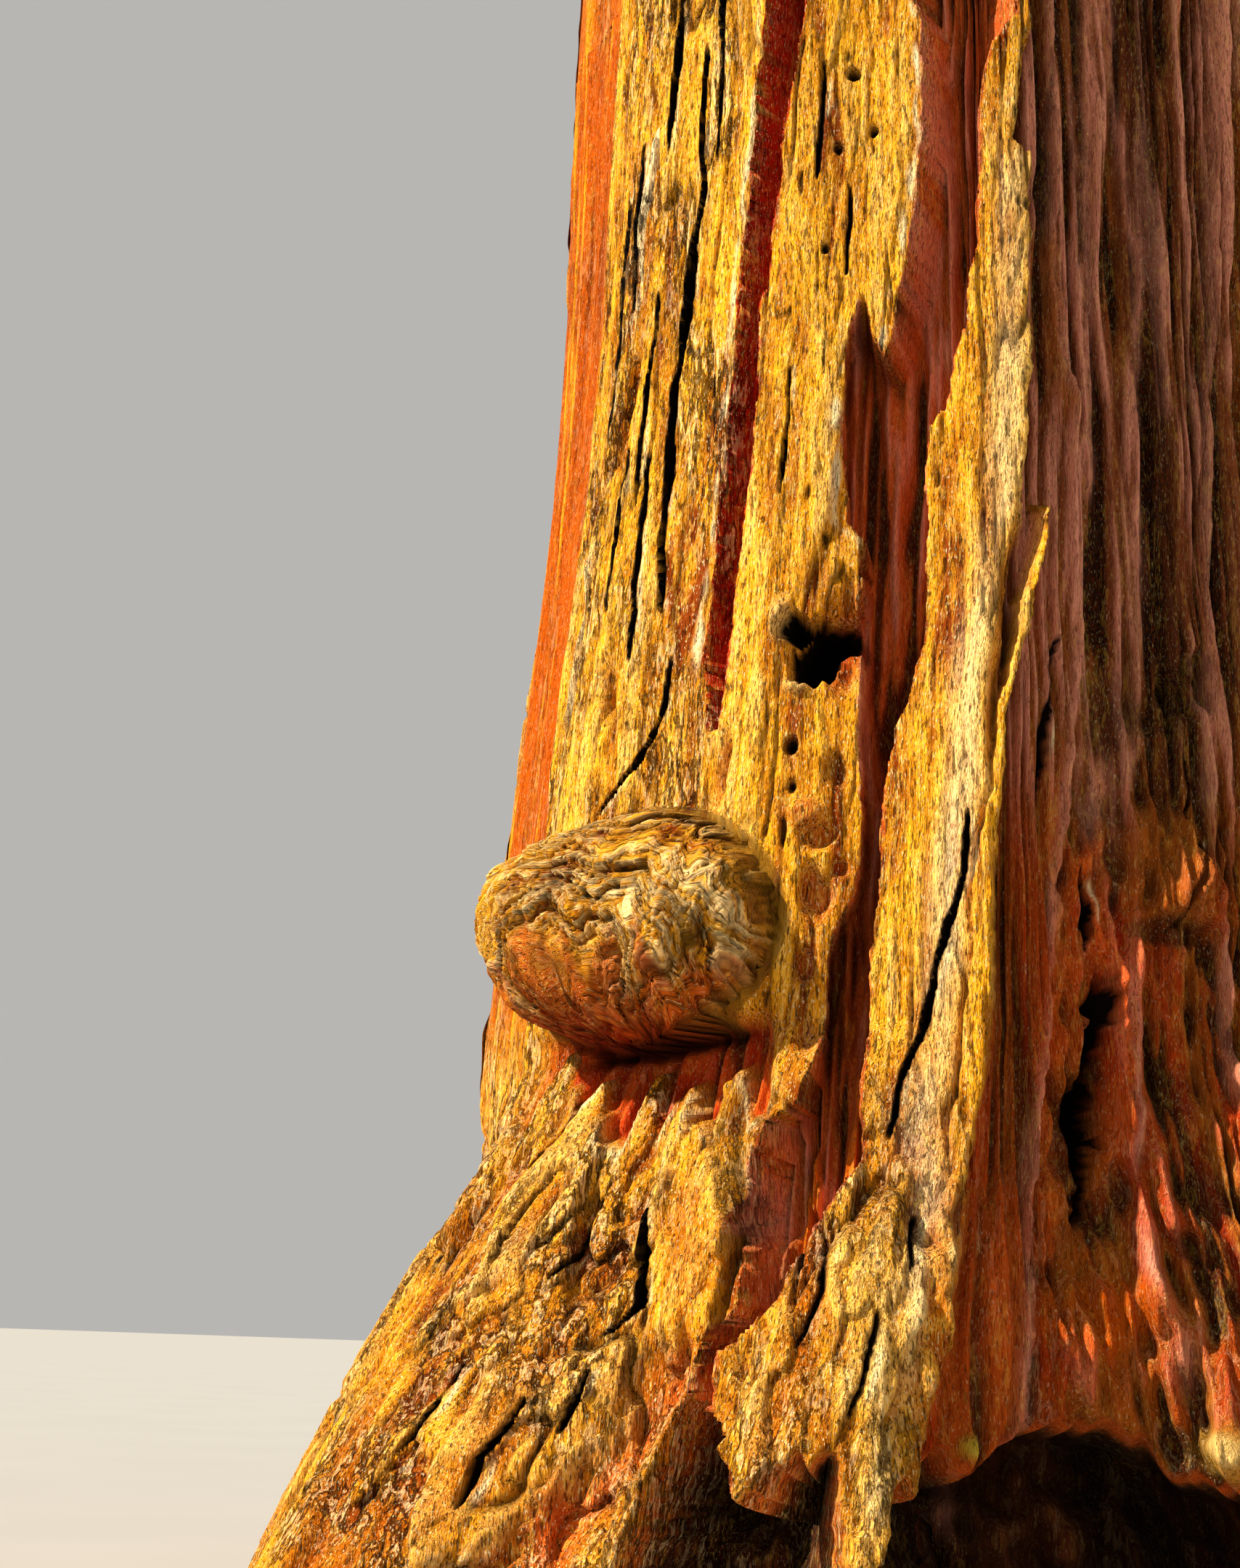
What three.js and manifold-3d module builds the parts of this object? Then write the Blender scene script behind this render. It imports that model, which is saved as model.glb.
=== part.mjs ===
// A whole giant sequoia: the fluted trunk with its root flare, burl and burnt hollows, the big limbs
// of its crown, and a mass of evergreen foliage on each limb and on the leading shoot. Millimetres,
// +Z up, origin at the centre of the flat cut at ground level. Bearings are in degrees round the
// trunk: 0 faces -Y and 90 faces +X.
import * as THREE from "three";
import { mergeVertices } from "three/addons/utils/BufferGeometryUtils.js";
import Module from "manifold-3d";

const wasm = await Module();
wasm.setup();

// Driving dimensions, in metres of the real tree. M is one real metre in the scaled model.
const realHeight = 81.7;
const modelHeight = 40000;
const M = modelHeight / realHeight;
const seat = 0.3; // between faces that meet, in model millimetres
const clear = 14; // between two masses, or a mass and a limb, in model millimetres
const clearTrunk = 56; // between a mass and the trunk, in model millimetres

const trunk = {
  top: 76.6, // where the stem becomes the leading shoot
  tipAt: 80, // where its taper would run out
  radius: 2.95, // above the flare
  taperPower: 2.2,
  taperRound: 0.8,
  swell: 0.33, // the swelling over the flare
  swellHeight: 6.3,
  swellPower: 4,
  leanX: 0.9, // how far the tip leans, with the lean growing as the square of the height
  leanY: -0.5,
};

// Root buttresses: bearing, half width in degrees, reach, height, and the power of their fall.
const roots = [
  { at: -78, wide: 24, reach: 1.3, high: 2.55, fall: 0.8 },
  { at: -44, wide: 20, reach: 1.55, high: 3.25, fall: 1.0 },
  { at: -9, wide: 12, reach: 1.15, high: 3.4, fall: 0.9 },
  { at: 30, wide: 16, reach: 1.2, high: 3.2, fall: 1.1 },
  { at: 72, wide: 20, reach: 1.5, high: 3.4, fall: 1.0 },
  { at: 112, wide: 18, reach: 1.3, high: 3.0, fall: 1.1 },
  { at: 150, wide: 20, reach: 1.6, high: 3.3, fall: 1.0 },
  { at: 192, wide: 18, reach: 1.3, high: 3.0, fall: 1.1 },
  { at: 232, wide: 22, reach: 1.6, high: 3.4, fall: 1.0 },
];

// The burl on the left: it swells out slowly above its middle and is undercut below it.
const burl = { at: -36.7, height: 4.0, wide: 0.96, above: 0.74, below: 0.72, proud: 0.79 };

// Burnt hollows under the buttresses: bearing, half width in degrees, roof height and depth.
const hollows = [
  { at: -22.5, wide: 3, roof: 1.2, deep: 0.85 },
  { at: -14, wide: 6, roof: 0.93, deep: 0.7 },
  { at: 13, wide: 17, roof: 1.12, deep: 1.0 },
  { at: 172, wide: 9, roof: 0.9, deep: 0.7 },
];
const hollowEdge = { degrees: 2.4, height: 0.28 };

// The long valley up the front of the trunk swings to the left near the ground. The furrow beside it
// slopes to the right as it climbs.
const valley = { top: -3.4, swing: -14.6, bend: 1.2, spread: 4.3, wide: 4.2, deep: 0.42, ends: 30 };
const furrow = { at: -29.9, slope: 1.3, starts: 5.3, wide: 2.4, deep: 0.34, fades: 13, ends: 26 };

// A burnt slit, a branch scar and a hole: bearing, height, half width and half height, and depth.
const scars = [
  { at: 12, height: 2.95, wide: 0.15, high: 0.72, deep: 0.5 },
  { at: -16, height: 5.73, wide: 0.26, high: 0.22, deep: 0.42 },
  { at: 24.5, height: 5.0, wide: 0.3, high: 0.5, deep: 0.3 },
];
const scarRim = 1.4; // where a scar's slope starts, in its own half widths

// Broad flutes that wind a little as they climb, and are gone near the tip.
const flutes = { count: 12, deep: 0.07, drift: 0.11, winding: 0.9, waves: 3, full: 12, ends: 72 };

// The trunk's grid: fine on the burl's side, coarse behind, with rows close together near the ground.
const fineFrom = -94;
const fineTo = 46;
const fineStep = 4;
const coarseStep = 9;
const rowHeights = [
  0, 0.25, 0.55, 0.8, 1.0, 1.25, 1.55, 1.9, 2.3, 2.7, 3.1, 3.4, 3.65, 3.9, 4.15, 4.45, 4.8, 5.15, 5.5,
  5.9, 6.4, 7.5, 9.5, 12.5, 16.5, 22, 29, 37, 45, 53, 60, 66.5, 72.5, trunk.top,
];

// The crown's outline widens a little above its foot and then rounds in to the top.
const crown = {
  limbs: 28,
  lowest: 38, // where the first limb leaves the trunk
  highest: 73,
  crowding: 0.92, // under 1 draws the limbs together towards the top
  foot: 35.5,
  halfWidth: 15,
  footShare: 0.92, // of the half width, at the foot
  fullBy: 0.2, // of the crown's height
  roundPower: 3.2,
  round: 0.6,
  unevenness: 0.14,
  turn: 137.508, // degrees from one limb to the next, which spreads them evenly
  turnJitter: 22,
};

// Sizes that change from the lowest limb to the highest are pairs.
const limb = {
  root: [0.52, 0.2], // radius where it leaves the trunk
  tip: 0.42, // of the root's radius
  collar: 0.4, // how much wider its collar is
  collarPower: 6,
  rise: [-0.8, 2.2], // of the foliage over the limb's foot
  riseJitter: 1.2,
  elbow: 0.5, // of the way out
  elbowDrop: 0.35,
  sides: 6,
  rings: 5,
};
const mass = {
  long: [5.2, 3.8], // half sizes: outwards, across and upwards
  wide: [7.0, 5.0],
  high: [5.1, 4.1],
  jitter: 0.12,
  entry: 0.56, // where the limb ends, as a share of the way from the middle to the rim
  core: 0.85,
  lump: 0.13, // how much the core's lumps stand out or in
  lumpWaves: 5,
  twigs: 7,
  twigRadius: 0.08,
  twigEnd: 0.88,
  sprayRoot: 0.6, // the leading spray starts here and ends at the rim
  sideRoot: 0.68,
  sideLength: 0.36,
  splay: 50, // degrees between the leading spray and the one beside it
};

// The leading shoot's stem, as a share of the trunk's tip, and its mass's width, as a share of its height.
const leader = { stem: 0.7, wide: 1.2 };

// A spray's outline, from its root past a tooth and a notch to its tip, as shares of its length.
const spray = { tooth: [0.52, 0.34], notch: [0.7, 0.15], ridge: 0.5, above: 0.09, below: 0.06 };

// A repeatable number from 0 to 1 for two whole numbers.
function share(a, b) {
  const s = Math.sin(a * 127.1 + b * 311.7) * 43758.5453;
  return s - Math.floor(s);
}

const radians = THREE.MathUtils.degToRad;
const clamp = (x) => Math.min(1, Math.max(0, x));
const smooth = (x) => clamp(x) ** 2 * (3 - 2 * clamp(x));
const hump = (x) => Math.exp(-x * x);
const turned = (degrees) => ((((degrees + 180) % 360) + 360) % 360) - 180;
const between = ([low, high], u) => low + (high - low) * u;
const jitter = (a, b) => share(a, b) - 0.5;
const up = new THREE.Vector3(0, 0, 1);

// How far round the trunk an angle reaches, in metres.
const roundTrunk = (degrees) => radians(turned(degrees)) * trunk.radius;

// How far the trunk's middle has leaned at a height.
function axisAt(z) {
  const s = (z / realHeight) ** 2;
  return [trunk.leanX * s, trunk.leanY * s];
}

function taperedRadius(z) {
  const left = 1 - clamp(z / trunk.tipAt) ** trunk.taperPower;
  const swell = trunk.swell * Math.exp(-((z / trunk.swellHeight) ** trunk.swellPower));
  return trunk.radius * left ** trunk.taperRound + swell;
}

function rootReach(bearing, z) {
  const reaches = roots.map((root) => {
    const across = turned(bearing - root.at) / root.wide;
    return root.reach * hump(across) * clamp(1 - z / root.high) ** root.fall;
  });
  return reaches.reduce((sum, reach) => sum + reach, 0);
}

function burlReach(bearing, z) {
  const across = roundTrunk(bearing - burl.at) / burl.wide;
  const high = (z - burl.height) / (z > burl.height ? burl.above : burl.below);
  return burl.proud * Math.sqrt(clamp(1 - across * across - high * high));
}

function fluteReach(bearing, z) {
  const wander = flutes.winding * Math.sin(radians(bearing) * flutes.waves + z * flutes.drift);
  const fade = clamp((flutes.ends - z) / (flutes.ends - flutes.full));
  return flutes.deep * fade * Math.sin(radians(bearing) * flutes.count + wander);
}

function valleyDepth(bearing, z) {
  const at = valley.top + valley.swing * hump((z - valley.bend) / valley.spread);
  return valley.deep * hump(turned(bearing - at) / valley.wide) * clamp(1 - z / valley.ends);
}

function furrowDepth(bearing, z) {
  const at = furrow.at + furrow.slope * (z - furrow.starts);
  const fade = smooth(z - furrow.starts) * clamp((furrow.ends - z) / furrow.fades);
  return furrow.deep * hump(turned(bearing - at) / furrow.wide) * fade;
}

function scarDepth(bearing, z) {
  const depths = scars.map((scar) => {
    const across = roundTrunk(bearing - scar.at) / scar.wide;
    const high = (z - scar.height) / scar.high;
    return scar.deep * smooth(scarRim - Math.hypot(across, high));
  });
  return Math.max(...depths);
}

function hollowDepth(bearing, z) {
  const depths = hollows.map((hollow) => {
    const inside = (hollow.wide - Math.abs(turned(bearing - hollow.at))) / hollowEdge.degrees;
    const under = (hollow.roof - z) / hollowEdge.height;
    return hollow.deep * smooth(inside + 0.5) * smooth(under + 0.5);
  });
  return Math.max(...depths);
}

// The trunk's radius at a bearing and a height, all in real metres.
function trunkRadius(bearing, z) {
  const proud = rootReach(bearing, z) + burlReach(bearing, z) + fluteReach(bearing, z);
  const cut = valleyDepth(bearing, z) + furrowDepth(bearing, z) + scarDepth(bearing, z);
  return taperedRadius(z) + proud - cut - hollowDepth(bearing, z);
}

// A level direction from a bearing.
function heading(bearing) {
  return new THREE.Vector3(Math.sin(radians(bearing)), -Math.cos(radians(bearing)), 0);
}

// Where the trunk's surface is, in model millimetres, grown by a little where a limb is cut to fit.
function trunkPoint(bearing, z, grown) {
  const [x, y] = axisAt(z);
  const middle = new THREE.Vector3(x, y, z).multiplyScalar(M);
  return middle.addScaledVector(heading(bearing), trunkRadius(bearing, z) * M + grown);
}

// The bearings of the trunk's columns.
function columnBearings() {
  const fine = Math.round((fineTo - fineFrom) / fineStep);
  const rest = 360 + fineFrom - fineTo;
  const coarse = Math.round(rest / coarseStep);
  const front = Array.from({ length: fine }, (_, i) => fineFrom + ((fineTo - fineFrom) * i) / fine);
  const back = Array.from({ length: coarse }, (_, i) => fineTo + (rest * i) / coarse);
  return [...front, ...back];
}

// Triangles that fill a flat ring, which may have bays in it, turning the way the ring turns.
function capOf(ring) {
  const middle = ring.reduce((sum, p) => sum.add(p), new THREE.Vector3()).divideScalar(ring.length);
  const normal = new THREE.Vector3();
  ring.forEach((p, i) => {
    const next = ring[(i + 1) % ring.length];
    normal.add(p.clone().sub(middle).cross(next.clone().sub(middle)));
  });
  const across = ring[0].clone().sub(middle).normalize();
  const along = normal.normalize().clone().cross(across);
  const flat = ring.map((p) => {
    const d = p.clone().sub(middle);
    return new THREE.Vector2(d.dot(across), d.dot(along));
  });
  return THREE.ShapeUtils.triangulateShape(flat, []);
}

// A closed body from rings of points: walls between the rings, and a cap on the first and the last.
function ringBody(rings) {
  const n = rings[0].length;
  const faces = [];
  for (let k = 0; k + 1 < rings.length; k++) {
    for (let i = 0; i < n; i++) {
      const j = (i + 1) % n;
      faces.push(k * n + i, k * n + j, (k + 1) * n + j);
      faces.push(k * n + i, (k + 1) * n + j, (k + 1) * n + i);
    }
  }
  for (const [a, b, c] of capOf(rings[0])) faces.push(a, c, b);
  const last = (rings.length - 1) * n;
  for (const [a, b, c] of capOf(rings[rings.length - 1])) faces.push(last + a, last + b, last + c);
  return bodyOf(rings.flat(), faces);
}

// A solid from points and triangle corners.
function bodyOf(points, faces) {
  const numbers = points.flatMap((p) => [p.x, p.y, p.z]);
  const geometry = new THREE.BufferGeometry();
  geometry.setAttribute("position", new THREE.Float32BufferAttribute(numbers, 3));
  geometry.setIndex(faces);
  return solidFrom(geometry);
}

function solidFrom(geometry) {
  geometry.deleteAttribute("normal");
  geometry.deleteAttribute("uv");
  const merged = mergeVertices(geometry, 1e-3);
  const vertProperties = merged.attributes.position.array;
  const triVerts = new Uint32Array(merged.index.array);
  return new wasm.Manifold(new wasm.Mesh({ numProp: 3, vertProperties, triVerts }));
}

// The trunk, or the trunk grown all round by a little.
function trunkSolid(grown) {
  const round = columnBearings();
  return ringBody(rowHeights.map((z) => round.map((bearing) => trunkPoint(bearing, z, grown))));
}

// A tapering limb or twig along a curve, with a flat face square to the curve at each end.
function taperedSolid(curve, rings, sides, radiusAt) {
  const frames = curve.computeFrenetFrames(rings, false);
  const sections = Array.from({ length: rings + 1 }, (_, k) => {
    const middle = curve.getPoint(k / rings);
    const r = radiusAt(k / rings);
    return Array.from({ length: sides }, (_, i) => {
      const a = (2 * Math.PI * i) / sides;
      const point = middle.clone().addScaledVector(frames.normals[k], r * Math.cos(a));
      return point.addScaledVector(frames.binormals[k], r * Math.sin(a));
    });
  });
  return ringBody(sections);
}

// The crown's half width at a height.
function crownHalfWidth(z) {
  const u = clamp((z - crown.foot) / (realHeight - crown.foot));
  const foot = between([crown.footShare, 1], clamp(u / crown.fullBy));
  return crown.halfWidth * foot * (1 - u ** crown.roundPower) ** crown.round;
}

// Each limb's curve and the ellipsoid that its foliage fills, in model millimetres.
function planLimb(i) {
  const u = i / (crown.limbs - 1);
  const z = between([crown.lowest, crown.highest], u ** crown.crowding);
  const bearing = i * crown.turn + crown.turnJitter * jitter(i, 1);
  const size = 1 + mass.jitter * 2 * jitter(i, 2);
  const half = new THREE.Vector3(...[mass.long, mass.wide, mass.high].map((s) => between(s, u) * size));
  const rise = between(limb.rise, u) + limb.riseJitter * jitter(i, 3);
  const [x, y] = axisAt(z);
  const foot = new THREE.Vector3(x, y, z);
  const out = heading(bearing);
  const reach = crownHalfWidth(z + rise) * (1 + crown.unevenness * jitter(i, 4)) - half.x;
  const centre = foot.clone().addScaledVector(out, reach).setZ(z + rise);
  const elbow = foot.clone().addScaledVector(out, reach * limb.elbow).setZ(z - limb.elbowDrop);
  const entry = centre.clone().lerp(elbow, (half.x * mass.entry) / centre.distanceTo(elbow));
  const curve = new THREE.QuadraticBezierCurve3(...[foot, elbow, entry].map((p) => p.multiplyScalar(M)));
  const root = between(limb.root, u) * M;
  return {
    name: String(i + 1).padStart(2, "0"),
    seed: i,
    centre: centre.multiplyScalar(M),
    half: half.multiplyScalar(M),
    out,
    across: heading(bearing + 90),
    curve,
    root,
    tip: root * limb.tip,
    stemFrom: curve.v2.clone(),
  };
}

// The leading shoot's mass stands on the trunk's flat tip and reaches the tree's full height.
function planTop() {
  const [x, y] = axisAt(trunk.top);
  const foot = new THREE.Vector3(x, y, trunk.top).multiplyScalar(M);
  const high = (modelHeight - foot.z) / 2;
  return {
    name: "top",
    seed: crown.limbs,
    centre: foot.clone().setZ(modelHeight - high),
    half: new THREE.Vector3(high * leader.wide, high * leader.wide, high),
    out: heading(0),
    across: heading(90),
    tip: leader.stem * taperedRadius(trunk.top) * M,
    stemFrom: foot,
  };
}

const plans = Array.from({ length: crown.limbs }, (_, i) => planLimb(i));
const topPlan = planTop();
const allPlans = [...plans, topPlan];

// A half space: the points p with (p - through) . normal >= 0.
function halfSpace(through, normal) {
  return { through, normal: normal.clone().normalize() };
}

// Between two masses the half space's face divides the way by their sizes.
function clearOfMass(p, q) {
  const apart = p.centre.clone().sub(q.centre);
  const part = p.half.x / (p.half.x + q.half.x);
  const through = p.centre.clone().addScaledVector(apart, -part);
  return halfSpace(through.addScaledVector(apart.clone().normalize(), clear / 2), apart);
}

function clearOfTrunk(p) {
  const [x, y] = axisAt(p.centre.z / M);
  const low = (p.centre.z - p.half.z) / M;
  const widest = Math.max(...columnBearings().map((bearing) => trunkRadius(bearing, low))) * M;
  const through = new THREE.Vector3(x * M, y * M, 0).addScaledVector(p.out, widest + clearTrunk);
  return halfSpace(through, p.out);
}

// One half space for each stretch of a limb that comes near the mass.
function clearOfLimb(p, q) {
  const steps = q.curve.getPoints(2 * limb.rings);
  const spaces = [];
  for (let k = 0; k + 1 < steps.length; k++) {
    const stretch = new THREE.Line3(steps[k], steps[k + 1]);
    const near = stretch.closestPointToPoint(p.centre, true, new THREE.Vector3());
    const away = p.centre.clone().sub(near);
    if (away.length() > p.half.x + q.root * (1 + limb.collar)) continue;
    const thick = between([q.root, q.tip], k / (steps.length - 1));
    spaces.push(halfSpace(near.addScaledVector(away.clone().normalize(), thick + clear), away));
  }
  return spaces;
}

// Half spaces that keep a mass out of its neighbours, the trunk and every limb, its own included.
function cellOf(p) {
  const others = allPlans.filter((q) => q !== p);
  const forward = p.centre.clone().sub(p.stemFrom);
  const start = p.stemFrom.clone().addScaledVector(forward.clone().normalize(), clear);
  const cell = [halfSpace(start, forward), ...others.map((q) => clearOfMass(p, q))];
  for (const q of plans) if (q !== p) cell.push(...clearOfLimb(p, q));
  if (p !== topPlan) cell.push(clearOfTrunk(p));
  return cell;
}

const depthIn = (cell, point) =>
  Math.min(...cell.map((h) => point.clone().sub(h.through).dot(h.normal)));

// How far a ray from the mass's centre may go before it leaves the cell.
function roomAlong(cell, centre, direction) {
  let room = Infinity;
  for (const h of cell) {
    const towards = direction.dot(h.normal);
    if (towards < 0) room = Math.min(room, h.through.clone().sub(centre).dot(h.normal) / towards);
  }
  return Math.max(0, room);
}

// The way from a mass's centre to its rim, by a unit direction in the mass's own axes.
function toRim(p, d) {
  const way = p.out.clone().multiplyScalar(d.x * p.half.x);
  return way.addScaledVector(p.across, d.y * p.half.y).addScaledVector(up, d.z * p.half.z);
}

// Directions spread evenly over a sphere by the golden angle, turned by the mass's own seed.
function spreadDirection(k, count, seed) {
  const z = 1 - (2 * k + 1) / count;
  const a = radians(crown.turn) * k + seed;
  const r = Math.sqrt(1 - z * z);
  return new THREE.Vector3(r * Math.cos(a), r * Math.sin(a), z);
}

// The dense middle of a mass: a lumpy ball pulled in wherever the cell ends.
function coreSolid(p, cell) {
  const ball = new THREE.IcosahedronGeometry(1, 1);
  const position = ball.attributes.position;
  for (let k = 0; k < position.count; k++) {
    const d = new THREE.Vector3().fromBufferAttribute(position, k);
    const [a, b] = [mass.lumpWaves * d.x + p.seed, mass.lumpWaves * (d.y + d.z) + 2 * p.seed];
    const lump = 1 + mass.lump * Math.sin(a) * Math.sin(b);
    const way = toRim(p, d).multiplyScalar(mass.core * lump);
    const room = roomAlong(cell, p.centre, way.clone().normalize());
    way.setLength(Math.min(way.length(), room - clear));
    way.add(p.centre);
    position.setXYZ(k, way.x, way.y, way.z);
  }
  return solidFrom(ball);
}

// One spray of foliage: a thin toothed blade, thickest along its middle. From its root it widens to
// a tooth on each side, narrows to a notch, and runs on to its tip.
function spraySolid(root, direction, length, spin) {
  const level = Math.abs(direction.z) < 0.9 ? up : new THREE.Vector3(1, 0, 0);
  const side = level.clone().cross(direction).normalize().applyAxisAngle(direction, spin);
  const face = direction.clone().cross(side);
  const at = (along, across, proud) => {
    const point = root.clone().addScaledVector(direction, along * length);
    return point.addScaledVector(side, across * length).addScaledVector(face, proud * length);
  };
  const [toothAt, toothOut] = spray.tooth;
  const [notchAt, notchOut] = spray.notch;
  const right = [at(toothAt, toothOut, 0), at(notchAt, notchOut, 0)];
  const left = [at(notchAt, -notchOut, 0), at(toothAt, -toothOut, 0)];
  const outline = [at(0, 0, 0), ...right, at(1, 0, 0), ...left];
  const n = outline.length;
  const faces = outline.flatMap((_, i) => {
    const j = (i + 1) % n;
    return [j, i, n, i, j, n + 1];
  });
  return bodyOf([...outline, at(spray.ridge, 0, spray.above), at(spray.ridge, 0, -spray.below)], faces);
}

// A spray, or nothing where it would leave the mass's own space.
function spraysInCell(cell, root, direction, length, spin) {
  const toothed = root.clone().addScaledVector(direction, length * spray.tooth[0]);
  const tip = root.clone().addScaledVector(direction, length);
  if (depthIn(cell, toothed) < length * spray.tooth[1] || depthIn(cell, tip) < 0) return [];
  return [spraySolid(root, direction, length, spin)];
}

// A twig from the mass's centre towards one direction, half as thick at its tip as at its root, with a
// spray at its tip and one beside it.
function twigSolids(p, cell, k) {
  const way = toRim(p, spreadDirection(k, mass.twigs, p.seed));
  const rim = way.length();
  const ahead = way.clone().normalize();
  if (roomAlong(cell, p.centre, ahead) < rim * mass.twigEnd) return [];
  const at = (part) => p.centre.clone().addScaledVector(ahead, rim * part);
  const line = new THREE.LineCurve3(p.centre, at(mass.twigEnd));
  const twig = taperedSolid(line, 1, 3, (t) => mass.twigRadius * M * (1 - t / 2));
  const spin = Math.PI * share(p.seed, k);
  const square = new THREE.Vector3().crossVectors(ahead, p.across.clone().add(up)).normalize();
  const hinge = square.applyAxisAngle(ahead, 2 * Math.PI * share(k, p.seed));
  const beside = ahead.clone().applyAxisAngle(hinge, radians(mass.splay));
  return [
    twig,
    ...spraysInCell(cell, at(mass.sprayRoot), ahead, rim * (1 - mass.sprayRoot), spin),
    ...spraysInCell(cell, at(mass.sideRoot), beside, rim * mass.sideLength, spin),
  ];
}

// Keeps the largest body of a fused solid, so that loose scraps go and sealed hollows are filled.
function largest(solid) {
  return solid.decompose().sort((a, b) => b.volume() - a.volume())[0];
}

// A mass of foliage: its stem, the dense middle, and twigs and sprays that stand out of it.
function massSolid(p) {
  const cell = cellOf(p);
  const forward = p.centre.clone().sub(p.stemFrom).normalize();
  const stem = new THREE.LineCurve3(p.stemFrom.clone().addScaledVector(forward, seat), p.centre);
  let body = taperedSolid(stem, 1, limb.sides, (t) => p.tip * (1 - t / 2));
  body = body.add(coreSolid(p, cell));
  for (let k = 0; k < mass.twigs; k++) {
    for (const solid of twigSolids(p, cell, k)) body = body.add(solid);
  }
  if (p === topPlan) {
    const root = p.centre.clone().addScaledVector(up, p.half.z * mass.sprayRoot);
    body = body.add(spraySolid(root, up, modelHeight - root.z, 0));
  }
  return largest(body);
}

function limbSolid(p, bark) {
  const radiusAt = (t) => between([p.root, p.tip], t) + p.root * limb.collar * (1 - t) ** limb.collarPower;
  return largest(taperedSolid(p.curve, limb.rings, limb.sides, radiusAt).subtract(bark));
}

// A named mesh from a solid.
function meshOf(name, solid, material) {
  const made = solid.getMesh();
  const geometry = new THREE.BufferGeometry();
  geometry.setAttribute("position", new THREE.BufferAttribute(made.vertProperties, 3));
  geometry.setIndex(new THREE.BufferAttribute(made.triVerts, 1));
  geometry.computeVertexNormals();
  const mesh = new THREE.Mesh(geometry, material);
  mesh.name = name;
  return mesh;
}

const bark = new THREE.MeshStandardMaterial({ color: 0xb4692a, roughness: 0.95, metalness: 0 });
const limbBark = new THREE.MeshStandardMaterial({ color: 0x9a5f38, roughness: 0.92, metalness: 0 });
const foliage = new THREE.MeshStandardMaterial({ color: 0x4f6b2c, roughness: 0.8, metalness: 0 });

const sequoia = new THREE.Group();
sequoia.add(meshOf("trunk", trunkSolid(0), bark));

const limbs = new THREE.Group();
const barkToClear = trunkSolid(seat);
for (const p of plans) limbs.add(meshOf(`bough_${p.name}`, limbSolid(p, barkToClear), limbBark));
sequoia.add(limbs);

const leafage = new THREE.Group();
for (const p of allPlans) leafage.add(meshOf(`foliage_${p.name}`, massSolid(p), foliage));
sequoia.add(leafage);

export default sequoia;
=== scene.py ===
import bpy
import numpy as np
from mathutils import Matrix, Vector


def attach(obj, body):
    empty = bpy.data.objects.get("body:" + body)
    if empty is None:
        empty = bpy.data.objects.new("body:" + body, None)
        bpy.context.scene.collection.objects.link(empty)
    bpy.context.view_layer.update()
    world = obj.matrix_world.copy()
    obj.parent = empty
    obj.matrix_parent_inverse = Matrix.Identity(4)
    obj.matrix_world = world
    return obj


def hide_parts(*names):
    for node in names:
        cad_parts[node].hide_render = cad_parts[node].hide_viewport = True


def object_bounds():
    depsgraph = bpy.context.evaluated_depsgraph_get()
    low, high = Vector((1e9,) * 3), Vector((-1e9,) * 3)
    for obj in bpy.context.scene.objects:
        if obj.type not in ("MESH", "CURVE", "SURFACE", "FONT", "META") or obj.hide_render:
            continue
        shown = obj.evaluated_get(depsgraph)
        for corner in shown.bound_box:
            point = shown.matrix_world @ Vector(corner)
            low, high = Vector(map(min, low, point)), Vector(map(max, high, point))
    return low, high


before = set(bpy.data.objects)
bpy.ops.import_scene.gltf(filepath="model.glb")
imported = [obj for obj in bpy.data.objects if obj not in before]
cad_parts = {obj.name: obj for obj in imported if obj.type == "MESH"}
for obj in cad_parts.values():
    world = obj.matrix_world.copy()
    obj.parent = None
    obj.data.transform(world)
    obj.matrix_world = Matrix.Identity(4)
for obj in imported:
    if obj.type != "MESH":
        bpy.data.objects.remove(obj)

cad_box = [list(corner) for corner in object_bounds()]

# The stem of the living tree, from the flat cut at ground level to its tip. Its wood tapers slowly,
# stands on nine root buttresses, and carries a burl on the left and burnt hollows at the foot.
# Sizes are metres of the real tree. Bearings are degrees round it: 0 faces -Y and 90 faces +X.
real_height = 81.7
metre = (cad_box[1][2] - cad_box[0][2]) / real_height
trunk = {"top": 76.6, "tip_at": 80, "radius": 2.95, "taper_power": 2.2, "taper_round": 0.8}
trunk_swell = {"proud": 0.33, "height": 6.3, "power": 4}
lean = (0.9, -0.5)
# Root buttresses: bearing, half width in degrees, reach, height, and the power of their fall.
roots = (
    (-78, 24, 1.3, 2.55, 0.8), (-44, 20, 1.55, 3.25, 1.0), (-9, 12, 1.15, 3.4, 0.9),
    (30, 16, 1.2, 3.2, 1.1), (72, 20, 1.5, 3.4, 1.0), (112, 18, 1.3, 3.0, 1.1),
    (150, 20, 1.6, 3.3, 1.0), (192, 18, 1.3, 3.0, 1.1), (232, 22, 1.6, 3.4, 1.0),
)
burl = {"at": -36.7, "height": 4.0, "wide": 0.92, "above": 0.74, "below": 0.72, "proud": 0.76}
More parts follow.
